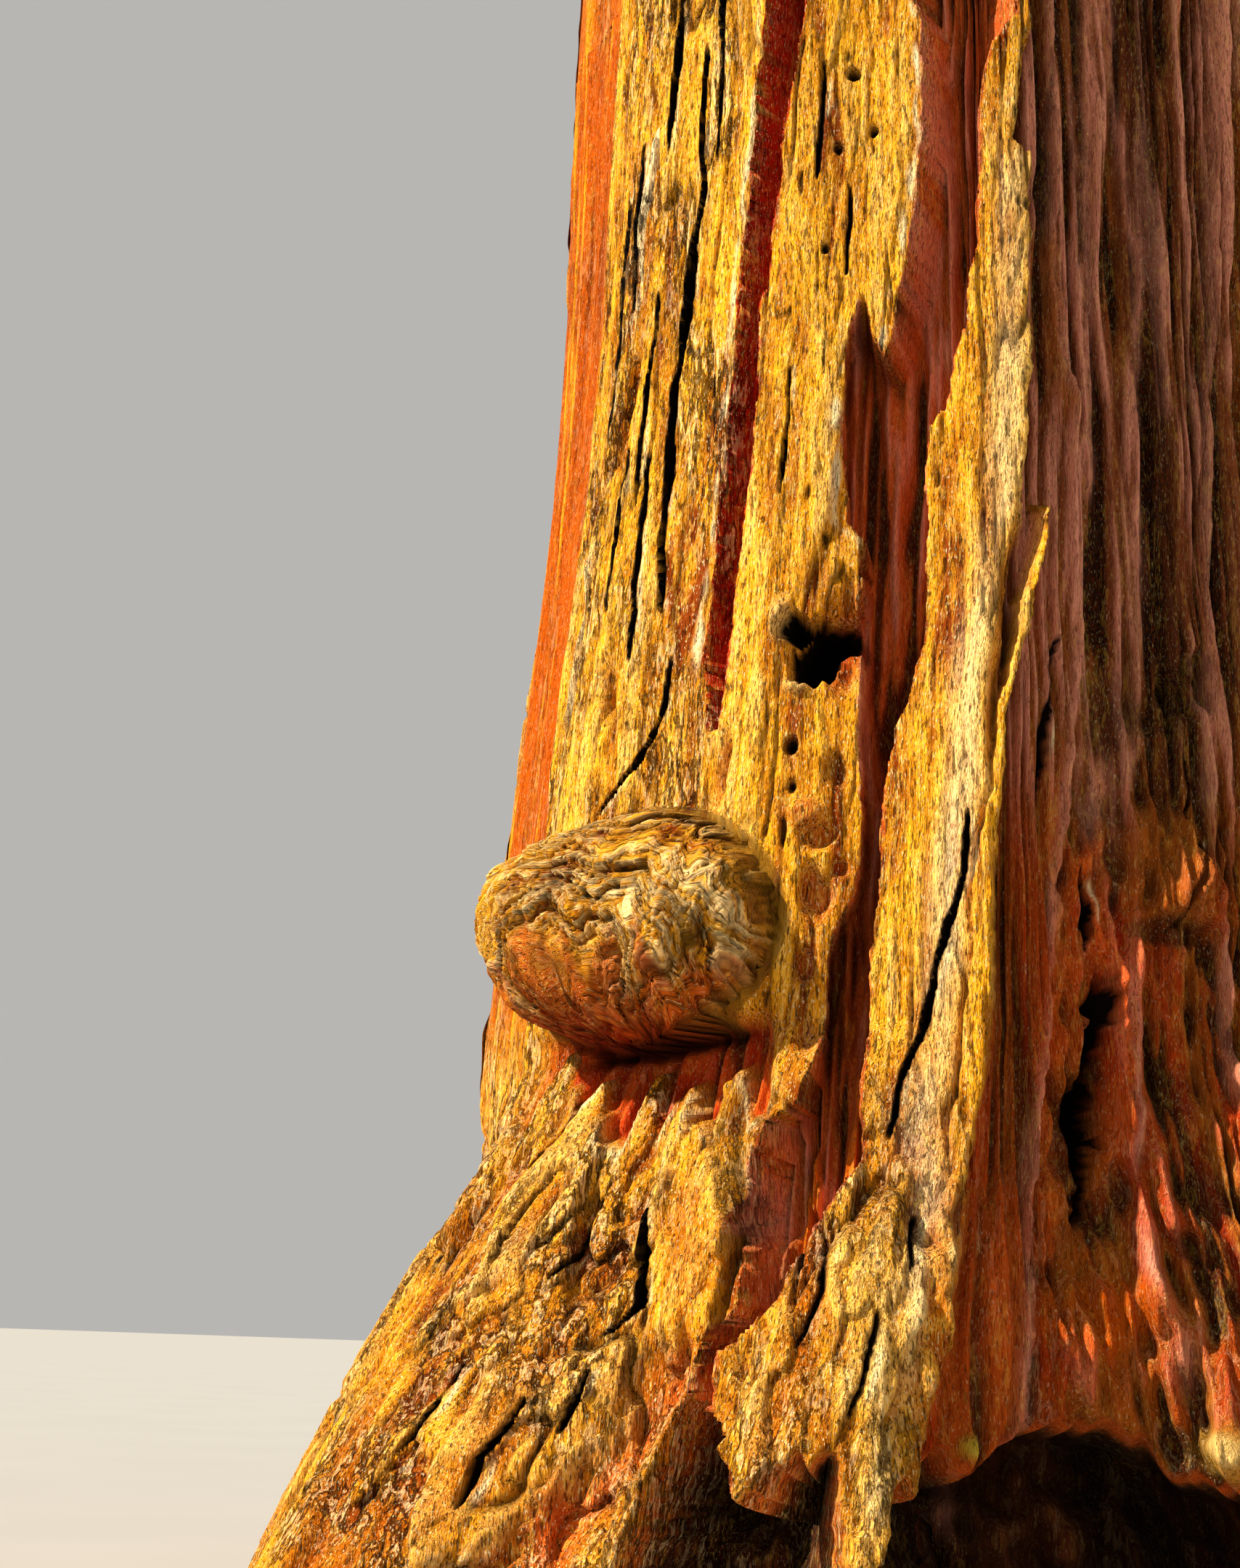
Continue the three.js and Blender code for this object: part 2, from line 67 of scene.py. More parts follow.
# Burnt hollows run under the buttresses: bearing and height along their roofs.
hollow_roof = (
    (-28, 0), (-26.5, 0.35), (-25, 0.75), (-23.6, 1.12), (-22.4, 1.3), (-21.2, 1.2), (-20.2, 0.98),
    (-16.3, 0.92), (-13, 0.98), (-11, 1.02), (-9, 1), (-8.2, 0.7), (-7.4, 0.5), (-5.6, 0.5), (-4.6, 0.85),
    (-2, 1), (0.4, 1.02), (3.6, 0.86), (6.8, 1.06), (10, 1.18), (13.7, 1.16), (16, 1.0), (19.7, 0.92),
    (23, 1.1), (26, 1.05), (30, 0.8), (32, 0), (163, 0), (165, 0.8), (179, 0.9), (181, 0),
)
hollow_depth_in = 0.95
# A burnt slit and holes: bearing, height, half width, half height, depth, and degrees they lean a metre.
scars = (
    (15.3, 3.0, 0.052, 0.85, 0.4, 2.4), (-18.2, 5.8, 0.13, 0.1, 0.4, 0), (-13.7, 5.77, 0.17, 0.13, 0.5, 0),
    (-15.6, 5.6, 0.14, 0.17, 0.5, 0),
)
scar_rim = 1.2
flutes = {"count": 12, "deep": 0.07, "drift": 0.11, "winding": 0.9, "waves": 3, "full": 12, "ends": 72}


def clamp(x):
    """The same number, held from 0 to 1."""
    return np.clip(x, 0, 1)


def smooth(x):
    """Rises from 0 to 1 as x does, by 3x^2 - 2x^3, and is level outside."""
    return clamp(x) ** 2 * (3 - 2 * clamp(x))


def hump(x):
    """A bell of height 1 round x = 0: e to the power of minus x squared."""
    return np.exp(-x * x)


def turned(degrees):
    """The same bearing, from -180 to 180."""
    return (degrees + 180) % 360 - 180


def between(pair, u):
    """The number that lies a share u of the way from the first of a pair to the second."""
    return pair[0] + (pair[1] - pair[0]) * u


def axis_at(z):
    """The middle of the stem, which leans as the square of the height."""
    s = (np.asarray(z, float) / real_height) ** 2
    return np.stack([lean[0] * s, lean[1] * s, np.asarray(z, float)], -1)


def heading(bearing):
    """The level direction that a bearing faces."""
    a = np.radians(bearing)
    return np.stack([np.sin(a), -np.cos(a), np.zeros_like(a)], -1)


def tapered_radius(z):
    """The stem's radius: one minus a power of the height, to another power, and a swelling at the foot."""
    left = 1 - clamp(z / trunk["tip_at"]) ** trunk["taper_power"]
    swell = trunk_swell["proud"] * np.exp(-((z / trunk_swell["height"]) ** trunk_swell["power"]))
    return trunk["radius"] * left ** trunk["taper_round"] + swell


def burl_place(bearing, z):
    """Where a point lies on the burl: across and up, each 1 at its rim."""
    across = np.radians(turned(bearing - burl["at"])) * trunk["radius"] / burl["wide"]
    high = (z - burl["height"]) / np.where(z > burl["height"], burl["above"], burl["below"])
    return across, high


def hollow_depth(bearing, z):
    """How far the burnt hollows are cut in: their depth, times a smooth step at their roof."""
    bearings, roofs = zip(*hollow_roof)
    roof = np.interp(turned(bearing), bearings, roofs)
    return hollow_depth_in * smooth((roof - z) / 0.24 + 0.5) * smooth(roof * 4)


def scar_depth(bearing, z):
    """How far a slit or hole is cut in: its depth, times a smooth step over its own ellipse."""
    deepest = np.zeros_like(z)
    for at, height, wide, high, deep, leaning in scars:
        across = np.radians(turned(bearing - at - leaning * (z - height))) * trunk["radius"] / wide
        deepest = np.maximum(deepest, deep * smooth(scar_rim - np.hypot(across, (z - height) / high)))
    return deepest


def stem_radius(bearing, z):
    """The wood's radius before the bark is cut: taper, buttresses as bells that fall with height, the burl
    as half an ellipsoid, and twelve winding flutes as a sine."""
    radius = tapered_radius(z)
    for at, wide, reach, high, fall in roots:
        radius = radius + reach * hump(turned(bearing - at) / wide) * clamp(1 - z / high) ** fall
    across, high = burl_place(bearing, z)
    radius = radius + burl["proud"] * np.sqrt(clamp(1 - across**2 - high**2))
    wander = flutes["winding"] * np.sin(np.radians(bearing) * flutes["waves"] + z * flutes["drift"])
    fade = clamp((flutes["ends"] - z) / (flutes["ends"] - flutes["full"]))
    return radius + flutes["deep"] * fade * np.sin(np.radians(bearing) * flutes["count"] + wander)


# The bark is up to half a metre thick, soft and fibrous. It splits along wandering lines into long flaky
# plates, is gold and straw where the sun reaches it, partly weathering and partly painted sunlight, and is
# cinnamon red where it is freshly torn.

# Splits: lines round the trunk, lines a metre up, step between the two sides, depth, half width, how dark
# the crack is painted as shade, how much lighter the proud side is, and the share left out where fissures
# take its place.
splits = (
    (24, 0.15, 0.08, 0.12, 0.055, 0.95, 0.5, 0.75), (62, 0.28, 0.03, 0.05, 0.055, 0.85, 0.5, 0.4),
    (130, 0.5, 0.009, 0.022, 0.06, 0.7, 0.45, 0), (280, 1.3, 0.004, 0.01, 0.09, 0.5, 0.35, 0),
)
foot_splits = (
    (34, 0.5, 0.1, 0.09, 0.06, 0.95, 0.6, 0), (88, 1.3, 0.045, 0.05, 0.075, 0.85, 0.6, 0),
    (210, 3.2, 0.02, 0.02, 0.1, 0.6, 0.5, 0),
)
# The burl's wrinkles: lines round and along it, how far they stand, and how dark they are, as painted shade
# in their creases.
wrinkles = ((28, 1.2, 0.035, 0.85), (70, 2.2, 0.02, 0.7), (150, 4, 0.01, 0.5), (260, 7, 0.004, 0.35))
wrinkle_centre_drop = 0.4
wrinkle_half = 0.12
# How far the bark is cut in, or set back, in each part of the trunk's surface, and how high three things
# reach: the foot's own plates, the shaded side's rough bark, and detail too fine to show further up.
cut_in = {"valley": 0.5, "furrow": 0.42, "shaded_side": 0.28, "past_crest": 0.06, "under_burl": 0.14}
crease_depth = 0.05
pit_depth = 0.02
foot_bark_top = 3.5
rough_bark_top = 5.4
fine_detail_top = 18
# The long valley up the front: height and bearing along each edge, and where it fades out.
valley_top = 30
valley_fade = 16
valley_left = (
    (0.5, -21), (1.26, -20.8), (1.57, -20.9), (1.82, -18.6), (2.3, -19.5), (2.8, -18.5), (2.9, -14.8),
    (3.2, -13.7), (3.6, -13.1), (3.98, -12.2), (4.16, -10.2), (4.7, -10.1), (5.24, -10.8), (6.39, -10.6),
    (6.5, -12.7), (7.07, -13.4), (7.56, -13.2), (7.61, -8.9), (7.77, -7.9), (8.21, -6.2), (8.58, -5.3),
    (9.16, -3.9), (10.01, -4.2), (10.2, -6), (14, -5), (22, -4), (30, -1.5),
)
valley_right = (
    (0.5, -15), (0.98, -16.3), (1.26, -20.0), (1.57, -20.0), (1.82, -15.1), (2.25, -12.2), (2.61, -8.7),
    (3.42, -9.4), (4.15, -8.6), (5.17, -7.4), (5.3, -5.6), (5.74, -4.2), (6.54, -3.8), (7.1, -3.5),
    (7.23, -1.4), (7.78, 1), (8.34, 2.1), (9.03, 2.6), (9.54, 3), (9.75, 4.3), (9.94, 7), (14, 6), (22, 2),
    (30, -0.8),
)
# A notch that runs up from the valley behind a hanging tongue of bark.
notch_foot = 7.45
notch_top = 8.05
notch_left = ((7.5, -13.3), (7.8, -13), (8.02, -12.2))
notch_right = ((7.5, -9), (7.62, -9.3), (7.8, -10.6), (8.02, -11.8))
# The furrow left of the valley, across a ridge of plates.
furrow_foot = 5.2
furrow_top = 26
furrow_fade = 13
furrow_left = (
    (5.3, -29), (5.47, -29.6), (5.81, -31.2), (6.16, -30.5), (7.12, -30.1), (8.02, -28.8), (9.16, -26.2),
    (10.32, -24.4), (14, -19), (26, -4),
)
furrow_right = (
    (5.3, -27), (5.72, -26.2), (6.23, -25.9), (7.05, -24.6), (7.96, -24.4), (9.1, -22.1), (10.25, -19.9),
    (14, -16), (26, -3),
)
# A narrow strip beyond the ridge that stands far enough out to catch the sun.
strip_foot = 2.3
strip_top = 6.7
strip_left = (
    (2.4, -0.8), (2.83, -0.9), (3.21, 0.2), (3.75, 1.2), (4.34, 1.8), (4.76, 3), (5.28, 4.4), (5.8, 6.6),
    (6.05, 7.8), (6.35, 9), (6.6, 10.2),
)
strip_right = (
    (2.4, 0.5), (2.84, 1.6), (3.21, 2.9), (3.75, 3.1), (4.34, 3.6), (4.76, 4.6), (5.28, 5.6), (5.8, 7.7),
    (6.35, 9.8), (6.6, 10.7),
)
# The right edge of the ridge beside the valley, past which the trunk falls back into shade.
ridge_line = (
    (0.5, -4), (1.13, -3.2), (1.61, -1.6), (2.4, -0.4), (2.8, -1.8), (3.2, -0.6), (3.68, 0.3), (4.45, 1),
    (4.76, 2.4), (5.45, 3), (5.78, 3.7), (6.53, 6.5), (7.11, 7.5), (7.78, 8.1), (8.96, 8.3), (9.07, 6.4),
    (9.49, 7.3), (9.92, 8.5), (14, 8.5), (30, 9),
)
# The pinkish crest that runs up the shaded side.
crest_line = (
    (0.5, 7), (2.4, 8), (2.78, 8.6), (3.29, 10.3), (3.81, 11.9), (4.35, 12.7), (4.9, 14), (5.48, 15.3),
    (5.87, 15.9), (7.2, 15.6), (8.3, 14.3), (8.7, 14.8), (14, 15), (30, 15),
)


def lattice(across, along, cells):
    """The cell of a lattice that each point lies in, and how far into it, with so many cells round."""
    a = (across % 1) * cells
    i, j = np.floor(a).astype(int), np.floor(along).astype(int)
    return i, j, a - i, along - j


def field(across, along, cells, seed):
    """Smooth numbers from about -1 to 1 that close on themselves round the trunk: a random slope at each
    lattice corner, blended across the cell by 6t^5 - 15t^4 + 10t^3."""
    rows = 256
    angle = np.random.default_rng(seed).uniform(0, 2 * np.pi, (cells, rows))
    slope = np.cos(angle), np.sin(angle)
    i, j, s, t = lattice(across, along, cells)

    def corner(di, dj):
        """One corner's slope, times how far the place is from it each way."""
        ci, cj = (i + di) % cells, (j + dj) % rows
        return slope[0][ci, cj] * (s - di) + slope[1][ci, cj] * (t - dj)

    u, v = (w**3 * (w * (6 * w - 15) + 10) for w in (s, t))
    low = corner(0, 0) * (1 - u) + corner(1, 0) * u
    high = corner(0, 1) * (1 - u) + corner(1, 1) * u
    return (low * (1 - v) + high * v) * 1.5


def split_along(across, z, cells, up, half, seed):
    """Lines that wander up the trunk, where smooth numbers pass through zero. Gives which side of a line
    each place is on, from 0 to 1, and how near it is to the line, as a bell."""
    wander = field(across, z * up, cells, seed)
    wander = wander + 0.45 * field(across, z * up * 2.3, int(cells * 1.7), seed + 1)
    return smooth(wander / (2 * half) + 0.5), hump(wander / half)


def line_at(z, line):
    """The bearing of a line at each height, straight between its points."""
    heights, bearings = zip(*line)
    return np.interp(z, heights, bearings)


def inside(bearing, z, left, right, edge, grow=0.0):
    """1 between two lines, each moved outwards by some degrees, and 0 outside them, with a smooth step so
    many degrees wide at each."""
    past_left = bearing - line_at(z, left) + grow
    before_right = line_at(z, right) - bearing + grow
    return smooth(past_left / edge + 0.5) * smooth(before_right / edge + 0.5)


def paint(red, green, blue):
    """A colour as seen on a screen, 0 to 255 each, as the shader's linear numbers."""
    c = np.array([red, green, blue]) / 255
    return np.where(c <= 0.04045, c / 12.92, ((c + 0.055) / 1.055) ** 2.4)


def mixed(under, over, share_over):
    """One colour laid over another by a share from 0 to 1."""
    return under + (over - under) * clamp(share_over)[..., None]


def coated(colour, *coats):
    """Coats laid over a colour in turn, each a colour and its share."""
    for hue, share_over in coats:
        colour = mixed(colour, hue, share_over)
    return colour


gold = paint(254, 178, 30)
amber = paint(234, 128, 14)
rust = paint(136, 56, 6)
straw = paint(246, 206, 122)
cinnamon = paint(168, 82, 36)
umber = paint(98, 46, 18)
# Near-black, painted as the shade in cracks, seams, dashes and pits.
shade_black = paint(16, 8, 5)
torn_red = paint(168, 42, 8)
ember = paint(224, 92, 26)
wine = paint(170, 26, 8)
valley_brown = paint(198, 98, 40)
orange_skin = paint(184, 78, 0)
# Pinkish crest colour, partly the bark's own and partly painted highlight.
rose_highlight = paint(226, 148, 122)
deep_brown = paint(128, 66, 36)
ochre_brown = paint(160, 84, 20)
shadow = paint(30, 15, 9)
olive = paint(196, 146, 48)
moss = paint(196, 186, 60)
cream = paint(250, 230, 176)
pale_fibre = paint(255, 206, 84)
dark_fibre = paint(140, 60, 4)
scale_brown = paint(112, 42, 4)

# Fissures, black as painted shade, each as a half width, a depth, and the heights and bearings that it
# follows.
fissures = (
    (0.026, 0.2, ((9.3, -33.7), (10.07, -33.1), (10.5, -33.2), (13.5, -33.4))),
    (0.026, 0.22, ((6.1, -38.2), (6.86, -39.2), (7.71, -39.2), (7.94, -38.4), (8.75, -37.3), (9.19, -35.8),
                   (9.6, -36.7), (10.3, -36.1))),
    (0.024, 0.18, ((9.5, -41.8), (10.19, -41), (10.67, -40.8), (13, -41.2))),
    (0.014, 0.12, ((8.4, -46.8), (9.09, -47.5), (9.7, -46.1))),
    (0.013, 0.12, ((4.8, -44.4), (5.07, -39.9), (5.42, -36.5), (5.8, -36))),
    (0.0125, 0.12, ((2.7, -6.5), (2.98, -5.9), (3.38, -3.6), (3.76, -2.2), (4.26, 0.6), (4.65, 0.9))),
    (0.018, 0.14, ((1.6, -31.5), (1.8, -28.3), (2.31, -29.2), (2.8, -29.5))),
    (0.011, 0.1, ((0.7, -37.3), (0.96, -37.2), (1.3, -35.3))),
    (0.01, 0.08, ((2.5, -45.4), (2.8, -43), (3.05, -42.5))),
    (0.009, 0.07, ((0.5, -52.5), (0.8, -50.4))),
    (0.009, 0.07, ((1.35, -54.5), (1.7, -52.4))),
    (0.01, 0.08, ((1.9, -37), (2.1, -35.6), (2.4, -35.2))),
    (0.009, 0.07, ((2.0, -57), (2.4, -54))),
    (0.01, 0.08, ((0.95, -43.4), (1.2, -42), (1.45, -41.6))),
    (0.01, 0.08, ((1.1, -32.4), (1.45, -31.3))),
    (0.009, 0.06, ((1.6, -12.2), (1.9, -11), (2.1, -10.8))),
    (0.01, 0.07, ((1.25, -8.2), (1.6, -6.8), (1.8, -6.4))),
    (0.009, 0.06, ((2.0, -4.3), (2.3, -3.7))),
    (0.014, 0.1, ((6.9, -43.6), (7.8, -43), (8.5, -42.2))),
    (0.013, 0.08, ((7.5, -50.5), (8.4, -50), (9.3, -49))),
    (0.013, 0.08, ((6.2, -46.6), (6.9, -46), (7.4, -45.8))),
    (0.014, 0.08, ((5.8, -41.5), (6.5, -42), (7.3, -42))),
    (0.012, 0.06, ((8.2, -13.7), (8.55, -13.5), (8.85, -13.4))),
    (0.012, 0.06, ((6.7, -20.4), (7.2, -20), (7.6, -20.1))),
    (0.012, 0.06, ((8.9, -17.6), (9.4, -17), (9.8, -17))),
    (0.008, 0.05, ((4.4, 10), (5.1, 11.4), (5.8, 13))),
    (0.01, 0.08, ((3.85, 15.2), (4.4, 15.6))),
    (0.014, 0.1, ((4.0, 22.6), (4.1, 24.4), (4.29, 26.4), (4.6, 28.2))),
    (0.012, 0.1, ((4.7, 26), (4.95, 27.4), (5.15, 26.6))),
)
# How far a fissure's blackness, painted shade, reaches past its cut.
wide_fissure_half = 0.012
wide_fissure_lead = 0.014
fine_fissure_lead = 0.006
# Coloured streaks: half width, how far they stand proud, colour, and the line. Their edges fade.
streak_lines = (
    (0.06, -0.12, torn_red, ((6.95, -52.5), (7.11, -51.7), (7.4, -48.7), (7.72, -47.1), (8.17, -45.9))),
    (0.05, -0.12, torn_red, ((5.34, -43.8), (5.61, -44.6), (5.98, -45.7))),
    (0.045, -0.12, torn_red, ((4.62, -27.1), (5.01, -26.2), (5.3, -25.6))),
    (0.035, -0.1, umber, ((4.7, -57), (5.2, -54.5), (5.9, -52.6), (6.6, -52.8))),
    (0.07, 0.05, straw, ((1.61, -48.7), (1.94, -41.2), (2.31, -40.4))),
    (0.05, 0.03, cream, ((5.4, -54), (6.04, -54), (6.5, -51.7), (6.9, -51.9))),
    # The soft crests and hollows of the shaded side: the crests pinkish, lightened as painted highlight,
    # and the hollows darkened as painted shade.
    (0.03, 0.05, rose_highlight, crest_line),
    (0.035, 0.05, rose_highlight, ((6.7, 17.9), (8.01, 18.9), (8.84, 19), (9.43, 19.4), (13, 20))),
    (0.03, 0.04, rose_highlight, ((4.8, 20), (5.2, 21.4), (5.89, 22.4), (7.63, 24.2), (8.46, 24.5), (9.88, 22.4),
                        (13, 22.5))),
    (0.05, 0.06, rose_highlight, ((4.7, 30), (5.96, 33), (7.07, 34.3), (7.9, 36.6), (9.02, 38.7), (10.33, 39.4),
                        (13, 40))),
    (0.05, 0.04, ochre_brown, ((7.1, 15.5), (7.75, 14.2), (8.4, 14.2), (8.75, 14.8))),
    (0.03, -0.05, shadow, ((7.4, 11), (8.31, 10.5), (8.73, 11.5), (9.32, 13.8), (10.01, 15.4), (12, 15.6))),
    (0.025, -0.04, shadow, ((8.2, 17.4), (8.71, 18.2), (9.34, 17.6), (10.03, 18.4), (12, 18.8))),
    (0.07, -0.06, shadow, ((6.5, 26), (7.0, 26), (7.81, 25.7), (8.9, 27.2), (9.92, 27.4), (12, 27.8))),
    (0.05, -0.05, shadow, ((6.4, 31), (7.4, 32), (8.6, 34), (10.4, 35), (12, 35.4))),
    (0.04, -0.05, shadow, ((8.3, 41.6), (9.73, 43), (11, 43.4))),
    (0.05, 0.05, ember, ((3.95, 12.4), (4.25, 14.2), (4.47, 16.6), (4.72, 19.2))),
    (0.05, 0.07, ember, ((2.3, 15.4), (2.69, 16.4), (2.96, 17.9), (3.31, 18.7), (3.65, 17.9), (3.95, 16.4),
                         (4.4, 15.5))),
    (0.025, 0.05, rose_highlight, ((2.5, 17.6), (2.96, 19.2), (3.4, 19.8), (3.9, 18.2))),
    (0.1, 0.04, ember, ((1.9, 9), (2.4, 9.8), (3.0, 11.2), (3.5, 12.4), (4.1, 13.4))),
    (0.07, 0.05, ember, ((1.4, 4), (1.7, 4.3), (2.24, 5), (2.7, 5.6))),
    (0.03, 0.04, rose_highlight, ((1.3, 18.5), (1.74, 19.2), (2.08, 17.6), (2.43, 17.6))),
    (0.04, 0.03, torn_red, ((1.5, 26), (2.2, 25), (3.0, 24), (3.6, 24.4))),
    # Red bark on the foot's side that faces away from the burl, partly torn bark and partly painted shade.
    (0.17, -0.12, torn_red, ((-0.3, -37), (0.3, -35), (0.62, -31.5), (0.95, -28.6), (1.3, -25.6),
                             (1.75, -23.6))),
    (0.07, -0.03, ember, ((0.2, -33), (0.62, -30.5), (0.95, -27.6), (1.3, -24.6), (1.7, -23.2))),
    (0.04, 0.05, rose_highlight, ((1.4, 32), (2.4, 31), (3.4, 30), (4.2, 30.6))),
)
# Flakes that stand free of what lies behind them: half width, how far they stand proud, how far their
# colour reaches past their edge, paleness, and the line.
flakes = (
    (0.022, 0.03, 0.012, 1.0, ((8.6, -45.6), (9.08, -46), (9.48, -44.4), (9.75, -43.9))),
    (0.024, 0.32, -0.004, 0.9, ((6.35, -26.6), (6.9, -26), (7.25, -25.6))),
)
# Rounder features: bearing, height, half width and half height, how far they stand proud, and colour.
marks = (
    (-13.1, 9.65, 0.045, 0.045, -0.08, shade_black), (-10.5, 9.23, 0.035, 0.035, -0.08, shade_black),
    (-15.0, 9.13, 0.025, 0.035, -0.05, shade_black), (-16.3, 8.4, 0.02, 0.03, -0.05, shade_black),
    (-14.6, 4.14, 0.1, 0.14, -0.1, torn_red), (-12.4, 5.75, 0.1, 0.3, -0.1, torn_red),
    (-19.6, 5.85, 0.05, 0.12, 0.06, straw), (-17.4, 5.45, 0.07, 0.06, 0.05, straw),
    (-16.1, 4.63, 0.1, 0.08, 0.05, cinnamon), (-12.6, 4.9, 0.06, 0.1, -0.05, umber),
    (-17.8, 5.05, 0.035, 0.05, -0.08, shade_black), (-17.5, 4.8, 0.03, 0.04, -0.06, shade_black),
    (-14.4, 4.5, 0.07, 0.08, -0.07, torn_red), (-15.4, 3.72, 0.045, 0.09, -0.08, torn_red),
    (-14.9, 3.3, 0.05, 0.13, -0.08, torn_red), (-12.4, 4.3, 0.05, 0.06, -0.07, torn_red),
    (23.4, 4.43, 0.24, 0.36, 0.14, ochre_brown), (24.5, 4.02, 0.2, 0.07, -0.12, shadow),
    (23.5, 5.35, 0.16, 0.16, -0.06, shadow), (18.4, 5.3, 0.1, 0.36, -0.05, shadow),
    (27, 5.52, 0.2, 0.12, -0.14, shadow), (29.5, 5.72, 0.1, 0.08, -0.1, shadow),
    (25.4, 5.62, 0.08, 0.12, -0.1, shadow),
    (14, 1.84, 0.26, 0.16, 0.05, orange_skin), (2.6, 1.12, 0.05, 0.06, 0.05, moss),
    (20, 1.12, 0.17, 0.13, 0.2, olive), (20.4, 1.16, 0.07, 0.06, 0.04, straw),
    (27.5, 2.4, 0.07, 0.1, -0.1, shadow), (31, 3.4, 0.08, 0.12, -0.1, shadow),
    (33, 2.9, 0.07, 0.12, -0.1, shadow), (30, 1.7, 0.08, 0.08, -0.1, shadow),
    (21, 2.2, 0.06, 0.08, -0.08, shadow),
)


def valleys(rag, z):
    """How much each place lies in the valley's and the furrow's cut, and how much in their colour, which
    reaches a little past the cut so that no plate's colour runs down a wall. Both fade upwards."""
    valley_fades = smooth((valley_top - z) / valley_fade)
    furrow_fades = clamp((furrow_top - z) / furrow_fade) * smooth((z - furrow_foot) / 0.2)
    in_notch = smooth((z - notch_foot) / 0.04) * smooth((notch_top - z) / 0.05)
    valley = np.maximum(inside(rag, z, valley_left, valley_right, 0.35) * valley_fades,
                        inside(rag, z, notch_left, notch_right, 0.35) * in_notch)
    furrow = inside(rag, z, furrow_left, furrow_right, 0.35) * furrow_fades
    in_valley = np.maximum(inside(rag, z, valley_left, valley_right, 0.25, 0.4) * smooth(valley_fades * 4),
                           inside(rag, z, notch_left, notch_right, 0.25, 0.3) * in_notch)
    in_furrow = inside(rag, z, furrow_left, furrow_right, 0.25, 0.4) * smooth(furrow_fades * 4)
    return valley, furrow, in_valley, in_furrow


def split_plates(grain, girth, z, at_foot, drawn, bare, close):
    """The plates: each rank of splits steps down from one side of its lines to the other and is cut along
    them, where smooth numbers let it be. Gives how far they stand, how much of a crack, and how lit."""
    proud, crack, lit = np.zeros_like(z), np.zeros_like(z), np.zeros_like(z)
    ranks = [(split, 1 - at_foot) for split in splits] + [(split, at_foot) for split in foot_splits]
    for rank, ((cells, up_by, step, deep, half, dark, light, left_out), here) in enumerate(ranks):
        side, near = split_along(grain, z, cells, up_by, half, 10 + 2 * rank)
        some = smooth(0.3 + 1.4 * field(girth, z * up_by * 0.9, max(8, cells // 3), 40 + rank))
        here = here * (1 - left_out * drawn) * bare
        proud = proud + here * (step * (side - 0.5) - deep * near * some)
        crack = np.maximum(crack, here * near**0.8 * some * dark)
        lit = lit + here * (side - 0.5) * light
    pits = smooth((field(grain, z * 3.2, 330, 60) - 0.66) * 8) * bare * close
    return proud - pit_depth * pits, np.maximum(crack, 0.9 * pits), lit


def wrinkle(across, high, girth, z):
    """The burl's wrinkles, which run in arcs about a middle below its own and fade there. Gives how far
    they stand, how much of a crack, how lit, and where their fibres run."""
    ring = np.hypot(across, high + wrinkle_centre_drop) + 0.2 * field(girth, z * 1.6, 60, 50)
    ring = ring + 0.08 * field(girth, z * 5, 200, 51)
    around = np.arctan2(across, high + wrinkle_centre_drop) / np.pi
    full = smooth(ring * 2.2)
    proud = 0.1 * field(girth, z * 1.3, 50, 52) + 0.03 * field(girth, z * 4, 150, 53)
    crack, lit = np.zeros_like(z), np.zeros_like(z)
    for rank, (cells, up_by, stand, dark) in enumerate(wrinkles):
        side, near = split_along(ring / 4, around, cells, up_by, wrinkle_half, 54 + 2 * rank)
        proud = proud + full * stand * (side - 1.3 * near)
        crack = np.maximum(crack, full * near * dark)
        lit = lit + full * (side - 0.5) * 0.45
    return proud, crack, lit, np.stack([ring, 0 * ring, around * 2], -1)


def shaded_colours(grain, z, close, streaks, fine_streaks, mottle, patches, right_of_crest):
    """The shaded side's colours, darker than the front as painted shade. Above: pinkish crests, lightened
    as painted highlight, and dark troughs and broad dark zones, as painted shade. Below them: torn red bark
    left of the long crest and earthy mottled bark right of it, their hollows darkened as painted shade and
    the earthy bark's crests lightened as painted highlight."""
    broad = field(grain, z * 0.09, 50, 94) + 0.5 * field(grain, z * 0.3, 90, 95)
    gnarl = 0.6 * field(grain, z * 2.4, 330, 96) * close
    above = coated(
        deep_brown,
        (ochre_brown, 0.5 * smooth(0.2 + 1.5 * patches - streaks)),
        (rose_highlight, 0.9 * smooth(2 * streaks + 1.5 * fine_streaks + 0.8 * broad + gnarl - 0.6)),
        (shadow, 0.97 * smooth(-0.1 - 2.6 * streaks - 1.8 * fine_streaks - gnarl)),
        (shadow, 0.65 * smooth(-0.1 - 1.8 * broad)),
    )
    earthy = coated(
        ochre_brown,
        (torn_red, 0.15 + 0.6 * streaks + 0.5 * mottle),
        (mixed(ember, rose_highlight, 0.4), 0.6 * smooth(1.6 * mottle + 1.5 * fine_streaks - 0.6)),
        (shadow, 0.93 * smooth(-0.12 - 1.8 * mottle - 1.2 * fine_streaks)),
    )
    torn = coated(
        mixed(ochre_brown, ember, 0.25),
        (torn_red, 0.4 + 0.5 * streaks),
        (shadow, 0.8 * smooth(-0.2 - 1.6 * fine_streaks - streaks)),
    )
    return mixed(above, mixed(torn, earthy, right_of_crest), smooth((rough_bark_top - z) / 1.2))


